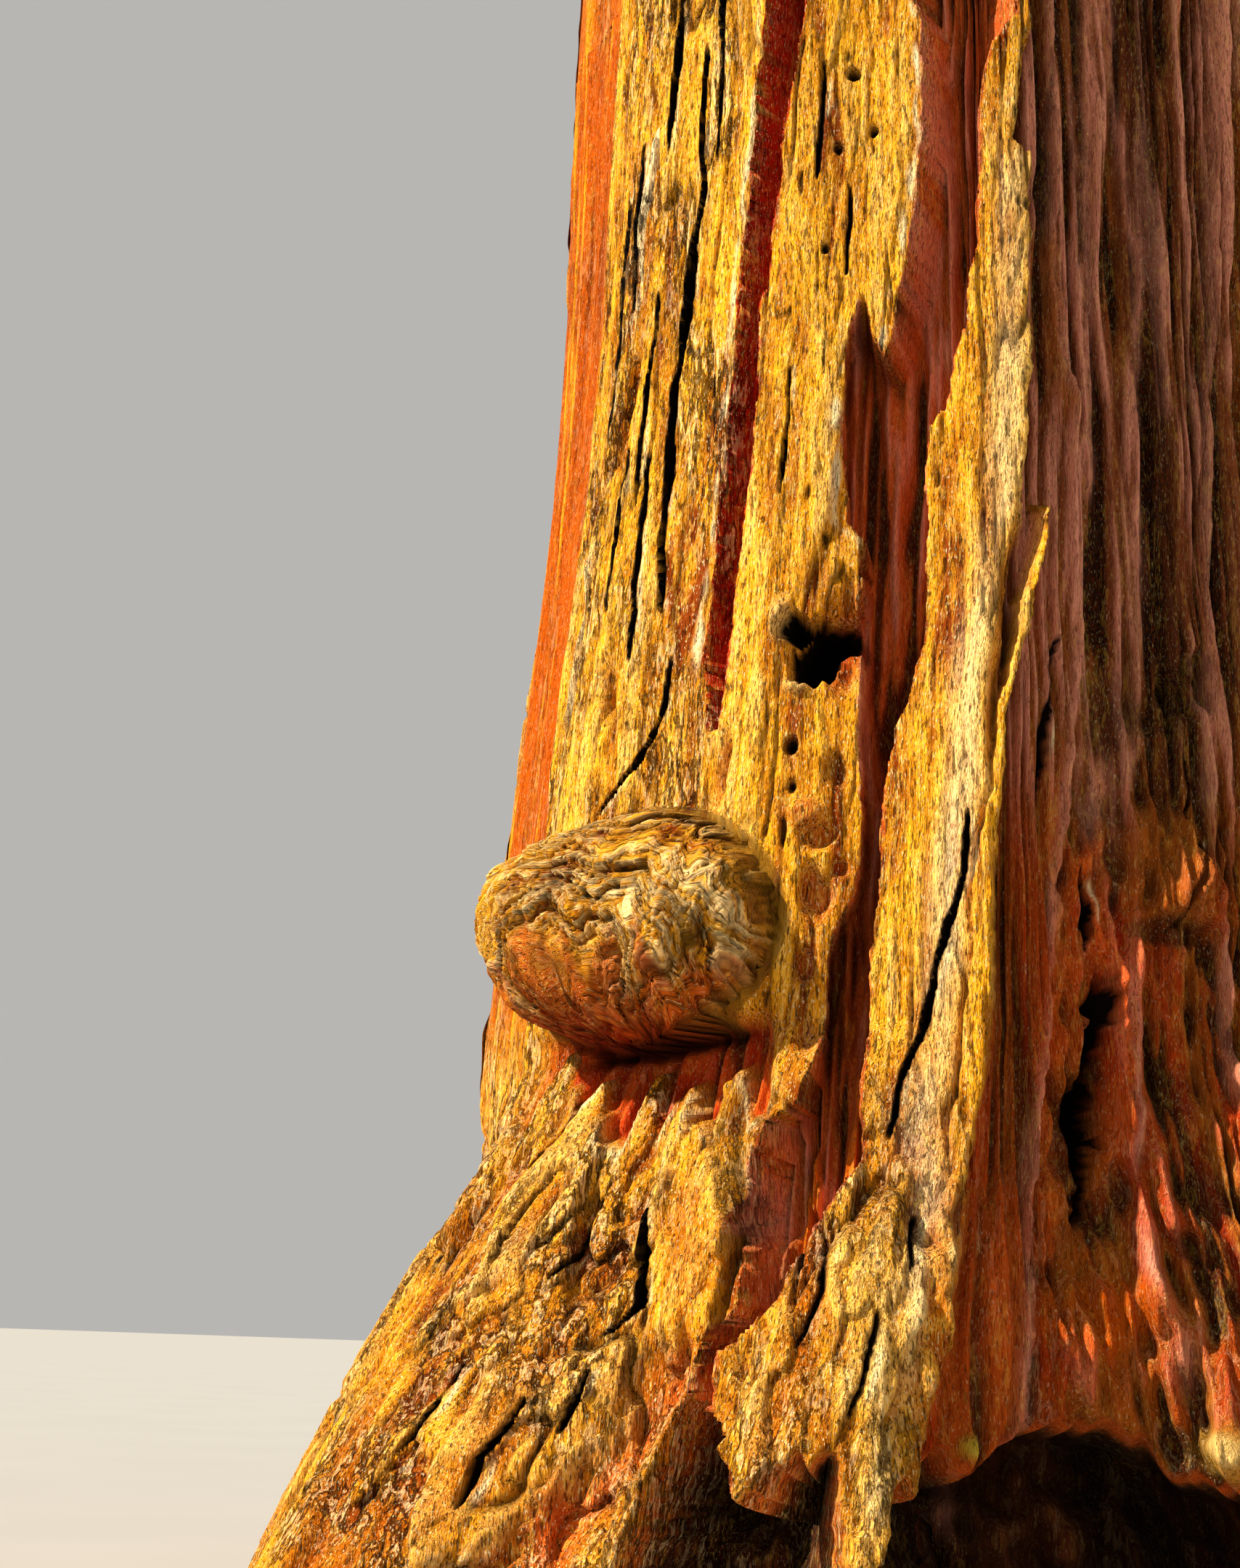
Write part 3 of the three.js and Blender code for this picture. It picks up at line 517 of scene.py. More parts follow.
def valley_floor(rag, grain, girth, z, close, small, valley):
    """The valley's floor: upright folds, pinkish on their crests as painted highlight and dark in their
    hollows as painted shade, shreds of plate low down, and a bright rim at each side, painted as the light
    that the sunlit walls throw back. Gives how far it stands and its colour."""
    folds = 1.2 * field(grain, z * 0.3, 120, 88) + 1.4 * field(grain, z * 0.7, 300, 89) * close
    folds = folds + 0.9 * field(grain, z * 1.6, 560, 92) * close
    shreds = smooth(3 * (field(grain, z * 1.1, 100, 90) + 0.6 * field(girth, z * 3, 280, 91)) - 0.3)
    shreds = shreds * valley * smooth((4.4 - z) / 0.8)
    rim = hump((rag - line_at(z, valley_right)) / 1.1) + 0.6 * hump((rag - line_at(z, valley_left)) / 0.9)
    colour = coated(
        mixed(valley_brown, torn_red, 0.25),
        (rose_highlight, 0.7 * smooth(1.8 * folds - 0.6)),
        (shadow, 0.93 * smooth(-0.15 - 1.8 * folds)),
        (mixed(rust, amber, 0.6 + small), 0.8 * shreds),
        (ember, 0.32 * rim),
    )
    return 0.06 * folds * valley + 0.14 * shreds, colour


def draw_features(bearing, z, small, mottle, proud, colour, crack):
    """Lays the streaks, fissures, flakes and marks over the bark. A streak is a bell across its line, the
    others have an edge, and a fissure narrows to both ends as the root of a parabola."""
    girth = bearing / 360
    wobble = 0.3 * field(girth, z * 4, 200, 41) + 0.12 * field(girth, z * 11, 600, 42)
    thickness = 0.9 + 0.5 * field(girth, z * 2, 90, 43)

    def metres_off(line):
        """How far each place is past a wavering line, as an arc of the trunk."""
        return (bearing - line_at(z, line) + wobble) * np.radians(1) * trunk["radius"]

    def edge(reach, away, blur):
        """1 within reach of a line and 0 beyond it, by a smooth step as wide as the blur."""
        return smooth((reach - abs(away)) / blur + 0.5)

    for half, stand, hue, line in streak_lines:
        ends = smooth((z - line[0][0]) / 0.3) * smooth((line[-1][0] - z) / 0.3)
        here = hump(metres_off(line) / half) * ends
        proud = proud + stand * here
        colour = mixed(colour, hue, 0.75 * here * (0.8 + 0.5 * small))
        crack = crack * (1 - 0.5 * here)
    for half, deep, line in fissures:
        lead = wide_fissure_lead if half > wide_fissure_half else fine_fissure_lead
        away = metres_off(line)
        u = clamp((z - line[0][0]) / (line[-1][0] - line[0][0]))
        wide = half * thickness * (4 * u * (1 - u)) ** 0.5
        there = smooth(u * 40) * smooth((1 - u) * 40)
        proud = proud - deep * edge(wide, away, 0.012) * there
        lit_lip = hump((away - wide - 0.032) / 0.012) * smooth(2.5 * field(girth, z * 3, 90, 44)) * there
        colour = mixed(colour, cream, 0.8 * lit_lip)
        crack = np.maximum(crack, edge(wide + lead, away, 0.008) * there)
    for half, stand, lead, paleness, line in flakes:
        away = metres_off(line)
        ends = clamp((z - line[0][0]) / 0.3) ** 0.7 * clamp((line[-1][0] - z) / 0.1) ** 0.5
        wide = half * thickness * ends
        proud = proud + stand * edge(wide, away, 0.014) * (wide > 0)
        here = edge(wide + lead, away, 0.012) * (wide > 0)
        colour = mixed(colour, mixed(gold, cream, paleness + 0.3 * small), here)
        crack = crack * (1 - here)
    for at, height, wide, tall, stand, hue in marks:
        reach = np.hypot(np.radians(turned(bearing - at)) * trunk["radius"] / wide, (z - height) / tall)
        here = smooth(1.5 - reach + 0.5 * mottle)
        proud = proud + stand * here
        colour = mixed(colour, hue, 0.75 * here)
        crack = np.maximum(crack * (1 - 0.7 * here), here if hue is shade_black else 0)
    return proud, colour, crack


def dress(bearing, z):
    """The bark at each bearing and height: how far it stands out of the wood, layers that say its colour,
    how much of a crack it is, how fibrous and how finely cracked, how far its fibres sway round the trunk,
    how far it is on the burl, and where the burl's fibres run."""
    girth = bearing / 360
    close = smooth((fine_detail_top - z) / 6)
    splay = 6 * smooth((3.4 - z) / 3.4) * smooth((-25 - bearing) / 20)
    sway = splay + 1.3 * field(girth, z * 0.2, 10, 1) + 0.5 * field(girth, z * 0.9, 40, 2)
    grain = (bearing + sway) / 360
    rag = bearing + 0.45 * field(girth, z * 2.2, 150, 3) + 0.25 * field(girth, z * 6, 400, 4)
    rag = rag + 0.2 * close * field(girth, z * 14, 800, 8)

    # The share of each place in each part of the trunk's surface.
    across, high = burl_place(bearing, z)
    on_burl = smooth((1.1 - np.hypot(across, high)) / 0.16)
    burl_face = smooth((1.02 - np.hypot(across, high)) / 0.08)
    at_foot = smooth((foot_bark_top - z) / 1.2)
    valley, furrow, in_valley, in_furrow = valleys(rag, z)
    strip = inside(rag, z, strip_left, strip_right, 0.5)
    strip = strip * smooth((z - strip_foot) / 0.2) * smooth((strip_top - z) / 0.2)
    # The side past the ridge, set back into shade, whose colours are painted darker as painted shade.
    past_ridge = smooth((rag - line_at(z, ridge_line)) / 2.2) * smooth((52 - bearing) / 14)
    past_ridge = past_ridge * clamp((30 - z) / 18) * (1 - strip)
    right_of_crest = smooth((rag - line_at(z, crest_line)) / 0.6)
    rough_side = smooth((rough_bark_top - z) / 1.2) * right_of_crest * past_ridge
    band = smooth((-59 - rag) / 1.4) * smooth((bearing + 100) / 12) * smooth((z - 2.9) / 1.2)
    band = band * clamp((16 - z) / 5)
    # Under the burl: its cast shadow, painted dark red down to a jagged edge of tongues.
    below_burl = smooth((rag + 56) / 8) * smooth((-17 - rag) / 3)
    tongues = 2.85 + 0.35 * field(girth, z * 0.4, 74, 5) + 0.25 * field(girth, z * 1.2, 190, 6)
    under_burl = below_burl * smooth((foot_bark_top - z) / 0.16) * smooth((z - tongues) / 0.08)
    drawn = smooth((bearing + 70) / 8) * smooth((10 - bearing) / 6) * smooth((12 - z) / 2) * (1 - at_foot)
    calm = clamp(valley + furrow + 0.9 * past_ridge + 0.9 * band + under_burl)
    plain = 1 - 0.9 * calm
    cut = scar_depth(bearing + 1.6 * (rag - bearing), z + 0.05 * field(girth, z * 5, 200, 9))
    ragged_z = z + 0.2 * field(girth, 0 * z, 40, 7) + 0.14 * field(girth, z * 0.7, 130, 17)
    ragged_z = ragged_z + 0.08 * field(girth, z * 1.5, 330, 18)
    burnt = hollow_depth(bearing + 0.6 * (rag - bearing), ragged_z)

    # Smooth numbers that the relief and the colours share.
    streaks = 0.8 * field(grain, z * 0.16, 84, 61) + 0.8 * field(grain, z * 0.4, 200, 62)
    streaks = streaks + 0.6 * close * field(grain, z * 0.9, 460, 63)
    fine_streaks = 1.2 * field(grain, z * 0.22, 240, 86) + 0.8 * field(grain, z * 0.5, 520, 87) * close
    mottle = field(grain, z * 0.9, 52, 64) + 0.7 * field(grain, z * 2.2, 130, 65)
    mottle = mottle + 0.5 * close * field(grain, z * 5, 300, 66)
    fibres = field(grain, z * 3.4, 620, 71) * close
    chips = field(grain, z * 6, 420, 72) * close
    patches = field(girth, z * 0.35, 16, 81) + 0.5 * field(grain, z * 0.9, 60, 82)
    small = field(grain, z * 2.2, 170, 84)

    proud, crack, lit = split_plates(grain, girth, z, at_foot, drawn, plain * (1 - on_burl), close)
    wrinkled, wrinkle_crack, wrinkle_lit, flow = wrinkle(across, high, girth, z)
    floor_relief, floor_colour = valley_floor(rag, grain, girth, z, close, small, valley)
    # A crease along the burl's lower edge, cut in a little and blackened as painted shade, for the undercut
    # that the height field cannot make.
    undercut_shade = hump((high + 1 - 0.12 * across) / 0.07) * smooth((0.75 - abs(across - 0.2)) * 4)
    crack = np.maximum(np.maximum(crack, on_burl * wrinkle_crack), 0.9 * undercut_shade)
    lit = lit + on_burl * wrinkle_lit
    soft = streaks * (1 - 0.5 * rough_side) + mottle * 0.7 * rough_side
    proud = proud + on_burl * wrinkled + floor_relief - crease_depth * undercut_shade - cut - burnt
    proud = proud - cut_in["valley"] * valley - cut_in["furrow"] * furrow
    proud = proud - cut_in["under_burl"] * under_burl
    proud = proud - (cut_in["shaded_side"] + cut_in["past_crest"] * right_of_crest) * past_ridge
    proud = proud + (0.07 + 0.06 * past_ridge) * soft * calm * (1 - 0.7 * furrow) * (1 - 0.7 * band)
    proud = proud + (0.03 + 0.03 * rough_side) * fine_streaks * past_ridge * close
    proud = proud + 0.05 * mottle * rough_side
    proud = proud + (0.006 * fibres + 0.007 * chips) * (0.3 + 0.7 * plain)
    proud = proud + 0.16 * smooth(burnt - 0.2) * (mottle + streaks)

    # Colours. The plates are rust in the dark, gold and straw in the sun, and ruddier at the foot. The side
    # that faces the sun is painted more gold and straw, partly weathering and partly painted sunlight.
    painted_sun_side = smooth((bearing + 100) / 30) * smooth((24 - bearing) / 16) * smooth((40 - z) / 24)
    ruddy = smooth(2 * field(girth, z * 1.1, 70, 85) + 0.1)
    toe = smooth((bearing + 15) / 3) * smooth((2 - bearing) / 3) * at_foot
    colour = coated(
        rust,
        (amber, 0.55 + 0.4 * patches + 0.5 * small + 0.8 * lit),
        (gold, 0.25 + painted_sun_side * (0.5 + 0.5 * patches + 0.5 * small) + 0.9 * lit),
        (cinnamon, (1 - painted_sun_side) * 0.55),
        (straw, (0.1 + 0.3 * painted_sun_side) * smooth(-0.15 + 1.5 * lit + 0.7 * fibres + 0.5 * small)),
        (mixed(amber, rust, 0.5), at_foot * (0.15 + 0.55 * ruddy)),
        (mixed(gold, straw, 0.6 + small), toe * smooth(0.2 + patches + 1.5 * lit) * 0.7),
        (mixed(olive, gold, 0.45 + 1.8 * lit), 0.6 * burl_face * smooth(0.4 + patches + small)),
        (cream, 0.45 * burl_face * smooth(2.4 * lit - 0.3)),
    )

    # The orange band, the shaded side in its painted shade, the valley, the furrow, and torn red bark under
    # the burl, darkened as the burl's painted shadow, with pale tips.
    shaded = shaded_colours(grain, z, close, streaks, fine_streaks, mottle, patches, right_of_crest)
    # The burl's painted shadow: torn red bark, darkened further with painted shade.
    burl_shadow_red = mixed(torn_red, ember, 0.25 + small)
    burl_shadow_red = mixed(burl_shadow_red, shadow, 0.8 * smooth(-0.25 - 1.5 * streaks - small))
    tongue_edge = hump((z - tongues + 0.03) / 0.035) * below_burl
    colour = coated(
        colour,
        (mixed(orange_skin, gold, 0.8 * smooth(1.4 * streaks - 0.5)), band),
        (rust, 0.7 * band * smooth(-1.5 * streaks - 0.6)),
        (shaded, past_ridge),
        (floor_colour, in_valley),
        (mixed(wine, torn_red, 0.3 * smooth(streaks)), in_furrow),
        (burl_shadow_red, under_burl),
        (cream, 0.7 * tongue_edge * smooth(0.4 + 2 * small)),
    )

    # The ridge's pale crest, the burl's pale star, its ruddy underside, partly torn bark and partly painted
    # shade, and the plates' lit lips.
    crest = hump((rag - line_at(z, ridge_line) + 1.9) / 1.7) * smooth((z - 1.2) * 2) * smooth((9.6 - z) * 2)
    star = hump(across - 0.42) * hump((high - 0.05) / 0.5) * on_burl
    ruddy_shaded_underside = burl_face * smooth((-high - 0.2 + 0.45 * small) / 0.4)
    lip = hump((bearing - line_at(z, furrow_left) + 1.2) / 0.7)
    lip = lip * smooth((z - 5.4) * 2) * smooth((11 - z) / 2)
    lip = np.maximum(lip, hump((bearing - line_at(z, valley_left) + 1.1) / 0.6) * smooth((z - 6) * 2))
    lip = lip * smooth(3 * field(girth, z * 3, 260, 83) + 0.1)
    colour = coated(
        colour,
        (cream, 0.55 * crest * (1 - in_valley) * smooth(0.7 + patches + 0.5 * small)),
        (cream, 0.35 * star * smooth(2 * lit)),
        (mixed(mixed(torn_red, umber, 0.2), ember, 0.3 + small), ruddy_shaded_underside * 0.8),
        (cream, lip * (1 - in_valley) * (1 - in_furrow)),
    )

    # The hollows: a fresh rim, then charred wood mixed with painted shade, and black deep inside, partly
    # char and partly painted shade.
    charred = mixed(mixed(umber, deep_brown, 0.5 + mottle), shadow, 0.5 - streaks)
    colour = coated(
        colour,
        (ember, smooth(burnt / 0.08) * 0.85),
        (charred, smooth((burnt - 0.2) / 0.2)),
    )
    char_and_hollow_shade = smooth((burnt - 0.3) / 0.35) * smooth(0.9 - 1.2 * mottle)

    proud, colour, crack = draw_features(bearing, z, small, mottle, proud, colour, crack)
    # Slits and holes are blackened, partly char and partly painted shade.
    crack = np.maximum(crack, smooth((cut - 0.06) / 0.1))
    crack = np.maximum(crack * (1 - smooth(burnt * 8)), 0.7 * char_and_hollow_shade)
    fibrous = (1 - 0.7 * calm) * (1 - 0.5 * crack)
    crazed = np.maximum(0.15 + 0.75 * smooth((-27 - bearing) / 4), 0.75 * at_foot)
    crazed = crazed * (1 - 0.8 * calm) * (1 - 0.75 * on_burl)
    layers = {"tint": colour, "crack": crack, "fibrous": fibrous, "crazed": crazed}
    return proud, layers, sway, on_burl, flow


def trunk_points(bearing, z):
    """Points of the bark in the model: the wood's surface, moved level along its own normal by the bark."""
    bearing, z = np.broadcast_arrays(np.asarray(bearing, float), np.asarray(z, float))
    proud, layers, sway, on_burl, flow = dress(bearing, z)
    radius = stem_radius(bearing, z)
    step = 0.2
    slope = (stem_radius(bearing + step, z) - stem_radius(bearing - step, z)) / np.radians(2 * step)
    lean_round = slope / radius
    out = heading(bearing) - lean_round[..., None] * heading(bearing + 90)
    out = out / np.linalg.norm(out, axis=-1, keepdims=True)
    points = axis_at(z) + heading(bearing) * radius[..., None] + out * proud[..., None]
    run = points + heading(bearing + 90) * (np.radians(sway) * radius)[..., None]
    layers["run"] = run + (flow - run) * smooth(on_burl)[..., None]
    return points * metre, layers


def surface(name, points, faces, layers, smooth_shaded=True):
    """A mesh object from points, blocks of faces with 3 or 4 corners each, and a number or a colour at each
    point for each named layer."""
    mesh = bpy.data.meshes.new(name)
    corners = np.concatenate([block.ravel() for block in faces])
    sizes = np.concatenate([np.full(len(block), block.shape[1]) for block in faces])
    mesh.vertices.add(len(points))
    mesh.vertices.foreach_set("co", points.astype(np.float32).ravel())
    mesh.loops.add(len(corners))
    mesh.loops.foreach_set("vertex_index", corners.astype(np.int32))
    mesh.polygons.add(len(sizes))
    mesh.polygons.foreach_set("loop_start", np.concatenate([[0], np.cumsum(sizes)[:-1]]).astype(np.int32))
    mesh.polygons.foreach_set("use_smooth", np.full(len(sizes), smooth_shaded))
    mesh.update(calc_edges=True)
    for layer, values in layers.items():
        values = np.asarray(values, np.float32)
        if values.ndim == 1:
            mesh.attributes.new(layer, "FLOAT", "POINT").data.foreach_set("value", values)
        else:
            mesh.attributes.new(layer, "FLOAT_VECTOR", "POINT").data.foreach_set("vector", values.ravel())
    made = bpy.data.objects.new(name, mesh)
    bpy.context.scene.collection.objects.link(made)
    return made


def grid_faces(rows, columns):
    """Four-cornered faces between neighbours in a grid of points, counted row by row."""
    first = (np.arange(rows - 1)[:, None] * columns + np.arange(columns - 1)).ravel()
    return np.stack([first, first + 1, first + columns + 1, first + columns], 1)


class Wire:
    """A socket in a material. Arithmetic on it, with numbers or other wires, adds Math nodes."""

    def __init__(self, finish, socket):
        self.finish = finish
        self.socket = socket

    def maths(self, operation, first, second):
        """One operation on two numbers or wires."""
        return self.finish.node("ShaderNodeMath", {"operation": operation}, {0: first, 1: second})

    def __add__(self, other):
        return self.maths("ADD", self, other)

    def __radd__(self, other):
        return self.maths("ADD", other, self)

    def __sub__(self, other):
        return self.maths("SUBTRACT", self, other)

    def __rsub__(self, other):
        return self.maths("SUBTRACT", other, self)

    def __mul__(self, other):
        return self.maths("MULTIPLY", self, other)

    def __rmul__(self, other):
        return self.maths("MULTIPLY", other, self)

    def held(self):
        """The same number, held from 0 to 1."""
        held_sum = {"operation": "ADD", "use_clamp": True}
        return self.finish.node("ShaderNodeMath", held_sum, {0: self, 1: 0.0})


class Finish:
    """A material with one Principled shader, and a method that adds any node by its type."""

    def __init__(self, name):
        self.material = bpy.data.materials.new(name)
        self.material.use_nodes = True
        self.tree = self.material.node_tree
        self.tree.nodes.clear()

    def node(self, kind, settings, sockets, output=0):
        """Adds a node: its settings first, then a value or a wire for each named socket."""
        made = self.tree.nodes.new(kind)
        for key, value in settings.items():
            setattr(made, key, value)
        for key, value in sockets.items():
            if isinstance(value, Wire):
                self.tree.links.new(value.socket, made.inputs[key])
            else:
                made.inputs[key].default_value = value
        return Wire(self, made.outputs[output]) if made.outputs else None

    def layer(self, name, output="Fac"):
        """What the mesh says at each point, as a number, or as a colour or place from the Vector output."""
        return self.node("ShaderNodeAttribute", {"attribute_name": name}, {}, output)

    def mix(self, under, over, share_over):
        """One colour laid over another by a share."""
        return self.node("ShaderNodeMix", {"data_type": "RGBA"}, {0: share_over, 6: under, 7: over}, 2)

    def scaled(self, vector, by):
        """A vector times another, part by part."""
        return self.node("ShaderNodeVectorMath", {"operation": "MULTIPLY"}, {0: vector, 1: by})

    def noise(self, vector, scale, detail=2.0):
        """Smooth noise from about 0 to 1, with so many grains a unit of the vector."""
        sockets = {"Vector": vector, "Scale": scale, "Detail": detail}
        return self.node("ShaderNodeTexNoise", {}, sockets, "Fac")

    def end(self, colour, roughness, height, distance):
        """Ends the material: a dull surface of this colour, with a bump of this height."""
        bump = self.node("ShaderNodeBump", {}, {"Height": height, "Distance": distance, "Strength": 1.0})
        shader = self.node("ShaderNodeBsdfPrincipled", {}, {
            "Base Color": colour, "Roughness": roughness, "Normal": bump, "Specular IOR Level": 0.05})
        self.node("ShaderNodeOutputMaterial", {}, {"Surface": shader})
        return self.material


def solid(colour):
    """The colour, fully opaque."""
    return (*colour, 1.0)


def bark_finish(name, dash_share):
    """Fibrous bark: its painted tint, with fine pale fibres, short dark dashes, cream flecks as painted
    highlights on chips, and ragged cracks where smooth noise passes through its middle, with a lip
    lightened as painted highlight, all along the run of the fibres. Each share is how far a number is past
    a limit, times how sharply it rises there, held from 0 to 1."""
    finish = Finish(name)
    run = finish.layer("run", "Vector")
    fibrous = finish.layer("fibrous")

    def grains(across, along, detail=2.0):
        """Smooth noise with about so many grains a metre across the fibres and along them."""
        return finish.noise(finish.scaled(run, (across, across, along)), 1.0, detail)

    fine = grains(110, 16)
    specks = grains(115, 26)
    scaly = grains(30, 9, 3.0)
    highlight_flecks = grains(100, 32, 1.0)
    off = grains(15, 2.6, 4.0) - 0.5
    thin_off = grains(36, 7, 3.0) - 0.5
    lip = off - 0.1
    broken = ((grains(2.4, 0.9) - 0.42) * 7.0).held() * finish.layer("crazed")
    seams = ((1.0 - off * off * 520.0) * 1.8).held() * broken
    thin_seams = ((1.0 - thin_off * thin_off * 420.0) * 1.6).held() * broken
    lip_highlights = (1.0 - lip * lip * 500.0).held() * broken
    pale = ((fine * 0.7 + grains(9, 0.8) * 0.5 + scaly * 0.8 - 1.03) * 6.0).held() * fibrous
    dark = ((0.41 - grains(64, 10)) * 14.0).held() * fibrous

    colour = finish.layer("tint", "Vector")
    # The black in seams, dashes and the mesh's cracks is painted shade.
    for hue, share_over in (
        (pale_fibre, pale * 0.45),
        (dark_fibre, ((0.47 - specks) * 10.0).held() * (0.22 + fibrous * 0.42)),
        (scale_brown, ((0.42 - scaly) * 9.0).held() * fibrous * 0.36),
        # A painted highlight along one lip of each crack.
        (cream, lip_highlights * 0.5),
        (scale_brown, thin_seams * 0.5),
        (shade_black, seams * 0.85),
        # Cream flecks, painted highlights on chips.
        (cream, ((highlight_flecks - 0.62) * 12.0).held() * fibrous * 0.55),
        (shade_black, dark * dash_share),
        (shade_black, finish.layer("crack")),
    ):
        colour = finish.mix(colour, solid(hue), share_over)
    height = fine * (0.2 + fibrous) * 0.6 + specks * 0.7 + scaly * 0.8 - dark * 1.2 - seams * 1.6
    height = height - thin_seams * 0.6
    return finish.end(colour, 0.95 - pale * 0.15, height, 0.018 * metre)


bark = bark_finish("trunk bark", 0.65)

# The grid is finest on the burl's side, where the bark is seen from close by, and coarser behind and above.
front = (-84.0, 46.0)
front_columns = 650
front_sheets = 5
back_columns = 150
foot_top = 11.2
foot_rows = 500
upper_columns = 200
upper_rows = 260
upper_rows_widen = 1.2
front_bearings = np.linspace(*front, front_columns + 1)
back_bearings = np.linspace(front[1], front[0] + 360, back_columns + 1)
foot_heights = np.linspace(0, foot_top, foot_rows + 1)
upper_heights = foot_top + (trunk["top"] - foot_top) * np.linspace(0, 1, upper_rows + 1) ** upper_rows_widen
upper_bearings = np.linspace(front[0], front[0] + 360, upper_columns + 1)


def bark_piece(name, points, faces, layers):
    """A piece of the trunk's bark, in its finish."""
    made = surface(name, points, faces, layers)
    made.data.materials.append(bark)
    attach(made, "root")
    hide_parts("trunk")


def bark_sheet(name, bearings, heights, more=None):
    """One sheet of bark over a stretch of bearings and heights. More adds points and faces at its foot."""
    points, layers = trunk_points(bearings[None, :], heights[:, None])
    count = points.shape[0] * points.shape[1]
    flat = {layer: v.reshape((count, *v.shape[2:])) for layer, v in layers.items()}
    faces = [grid_faces(*points.shape[:2])]
    points = points.reshape(count, 3)
    if more is not None:
        more_points, more_layers, more_faces = more(count)
        points = np.concatenate([points, more_points])
        flat = {layer: np.concatenate([flat[layer], more_layers[layer]]) for layer in flat}
        faces.append(more_faces)
    bark_piece(name, points, faces, flat)


for part, rows in enumerate(np.array_split(np.arange(foot_rows), front_sheets)):
    bark_sheet(f"bark_front_{part + 1}", front_bearings, foot_heights[rows[0]:rows[-1] + 2])
bark_sheet("bark_back", back_bearings, foot_heights)


def ring_between(count):
    """Triangles from the closely spaced top row of the foot up to the wider spaced first row above it: at
    each step the row whose next point comes first moves on."""
    low = np.concatenate([front_bearings, back_bearings[1:]])
    points, layers = trunk_points(low, np.full(low.shape, foot_top))
    order = np.argsort(np.concatenate([low[1:], upper_bearings[1:]]), kind="stable")
    low_moves = order < len(low) - 1
    i = np.cumsum(low_moves) - low_moves
    j = np.cumsum(~low_moves) - ~low_moves
    third = np.where(low_moves, count + i + 1, j + 1)
    return points, layers, np.stack([count + i, third, j], 1)


bark_sheet("bark_upper", upper_bearings, upper_heights, ring_between)


def flat_end(name, z, upward):
    """The flat cut across the trunk at a height: a fan of triangles from its middle to the bark's edge."""
    round_ = np.concatenate([front_bearings, back_bearings[1:]]) if z < foot_top else upper_bearings
    points, layers = trunk_points(round_, np.full(round_.shape, float(z)))
    middle = axis_at(z)[None] * metre
    n = len(points)
    k = np.arange(n - 1)
    fan = np.stack([np.full(n - 1, n), k, k + 1] if upward else [np.full(n - 1, n), k + 1, k], 1)
    layers = {layer: np.concatenate([v, v.mean(0, keepdims=True)]) for layer, v in layers.items()}
    bark_piece(name, np.concatenate([points, middle]), [fan], layers)


flat_end("ground_cut", 0, False)
flat_end("stem_tip", trunk["top"], True)

# The big limbs leave the trunk from 38 m up, by the golden angle, dip to an elbow and rise into their
# foliage. Each is one tapering stem with a collar where it joins the trunk, in thinner, redder bark.
crown = {"limbs": 28, "lowest": 38, "highest": 73, "crowding": 0.92, "foot": 35.5, "half_width": 15}
crown_round = {"foot_share": 0.92, "full_by": 0.2, "power": 3.2, "round": 0.6, "unevenness": 0.14}
golden_turn = 137.508
turn_jitter = 22
limb = {"root": (0.52, 0.2), "tip": 0.42, "collar": 0.4, "collar_power": 6, "rise": (-0.8, 2.2)}
limb_way = {"rise_jitter": 1.2, "elbow": 0.5, "elbow_drop": 0.35}
mass_half = ((5.2, 3.8), (7.0, 5.0), (5.1, 4.1))
mass = {"jitter": 0.12, "entry": 0.56, "lump_waves": 5}
clear = 0.014 / metre
clear_trunk = 0.056 / metre
leader = {"stem": 0.7, "wide": 1.2}
up = np.array([0.0, 0.0, 1.0])


def share(a, b):
    """A repeatable number from 0 to 1 for two numbers: the fraction of a large sine."""
    s = np.sin(np.asarray(a) * 127.1 + np.asarray(b) * 311.7) * 43758.5453
    return s - np.floor(s)


def jitter(a, b):
    """The same repeatable number, from -0.5 to 0.5."""
    return share(a, b) - 0.5


def unit(vectors):
    """The same directions, one long: each vector over its own length."""
    return vectors / np.linalg.norm(vectors, axis=-1, keepdims=True)


def crown_half_width(z):
    """The crown's outline: it widens a little above its foot, then rounds in by a power of the height."""
    u = clamp((z - crown["foot"]) / (real_height - crown["foot"]))
    foot = between((crown_round["foot_share"], 1), clamp(u / crown_round["full_by"]))
    return crown["half_width"] * foot * (1 - u ** crown_round["power"]) ** crown_round["round"]


def plan_limb(i):
    """A limb's curve, and the ellipsoid that its foliage fills."""
    u = i / (crown["limbs"] - 1)
    z = between((crown["lowest"], crown["highest"]), u ** crown["crowding"])
    bearing = i * golden_turn + turn_jitter * jitter(i, 1)
    half = np.array([between(s, u) for s in mass_half]) * (1 + mass["jitter"] * 2 * jitter(i, 2))
    rise = between(limb["rise"], u) + limb_way["rise_jitter"] * jitter(i, 3)
    foot = axis_at(z)
    out = heading(bearing)
    reach = crown_half_width(z + rise) * (1 + crown_round["unevenness"] * jitter(i, 4)) - half[0]
    centre = foot + out * reach + up * rise
    elbow = foot + out * reach * limb_way["elbow"] - up * limb_way["elbow_drop"]
    entry = centre + (elbow - centre) * half[0] * mass["entry"] / np.linalg.norm(elbow - centre)
    root = between(limb["root"], u)
    return {"seed": i, "name": f"{i + 1:02d}", "centre": centre, "half": half, "out": out,
            "across": heading(bearing + 90), "curve": (foot, elbow, entry), "root": root,
            "tip": root * limb["tip"], "stem_from": entry}


def plan_top():
    """The leading shoot's mass, which stands on the trunk's tip."""
    foot = axis_at(trunk["top"])
    high = (real_height - trunk["top"]) / 2
    return {"seed": crown["limbs"], "name": "top", "centre": foot + up * high,
            "half": np.array([high * leader["wide"], high * leader["wide"], high]),
            "out": heading(0.0), "across": heading(90.0), "stem_from": foot,
            "tip": leader["stem"] * tapered_radius(trunk["top"])}


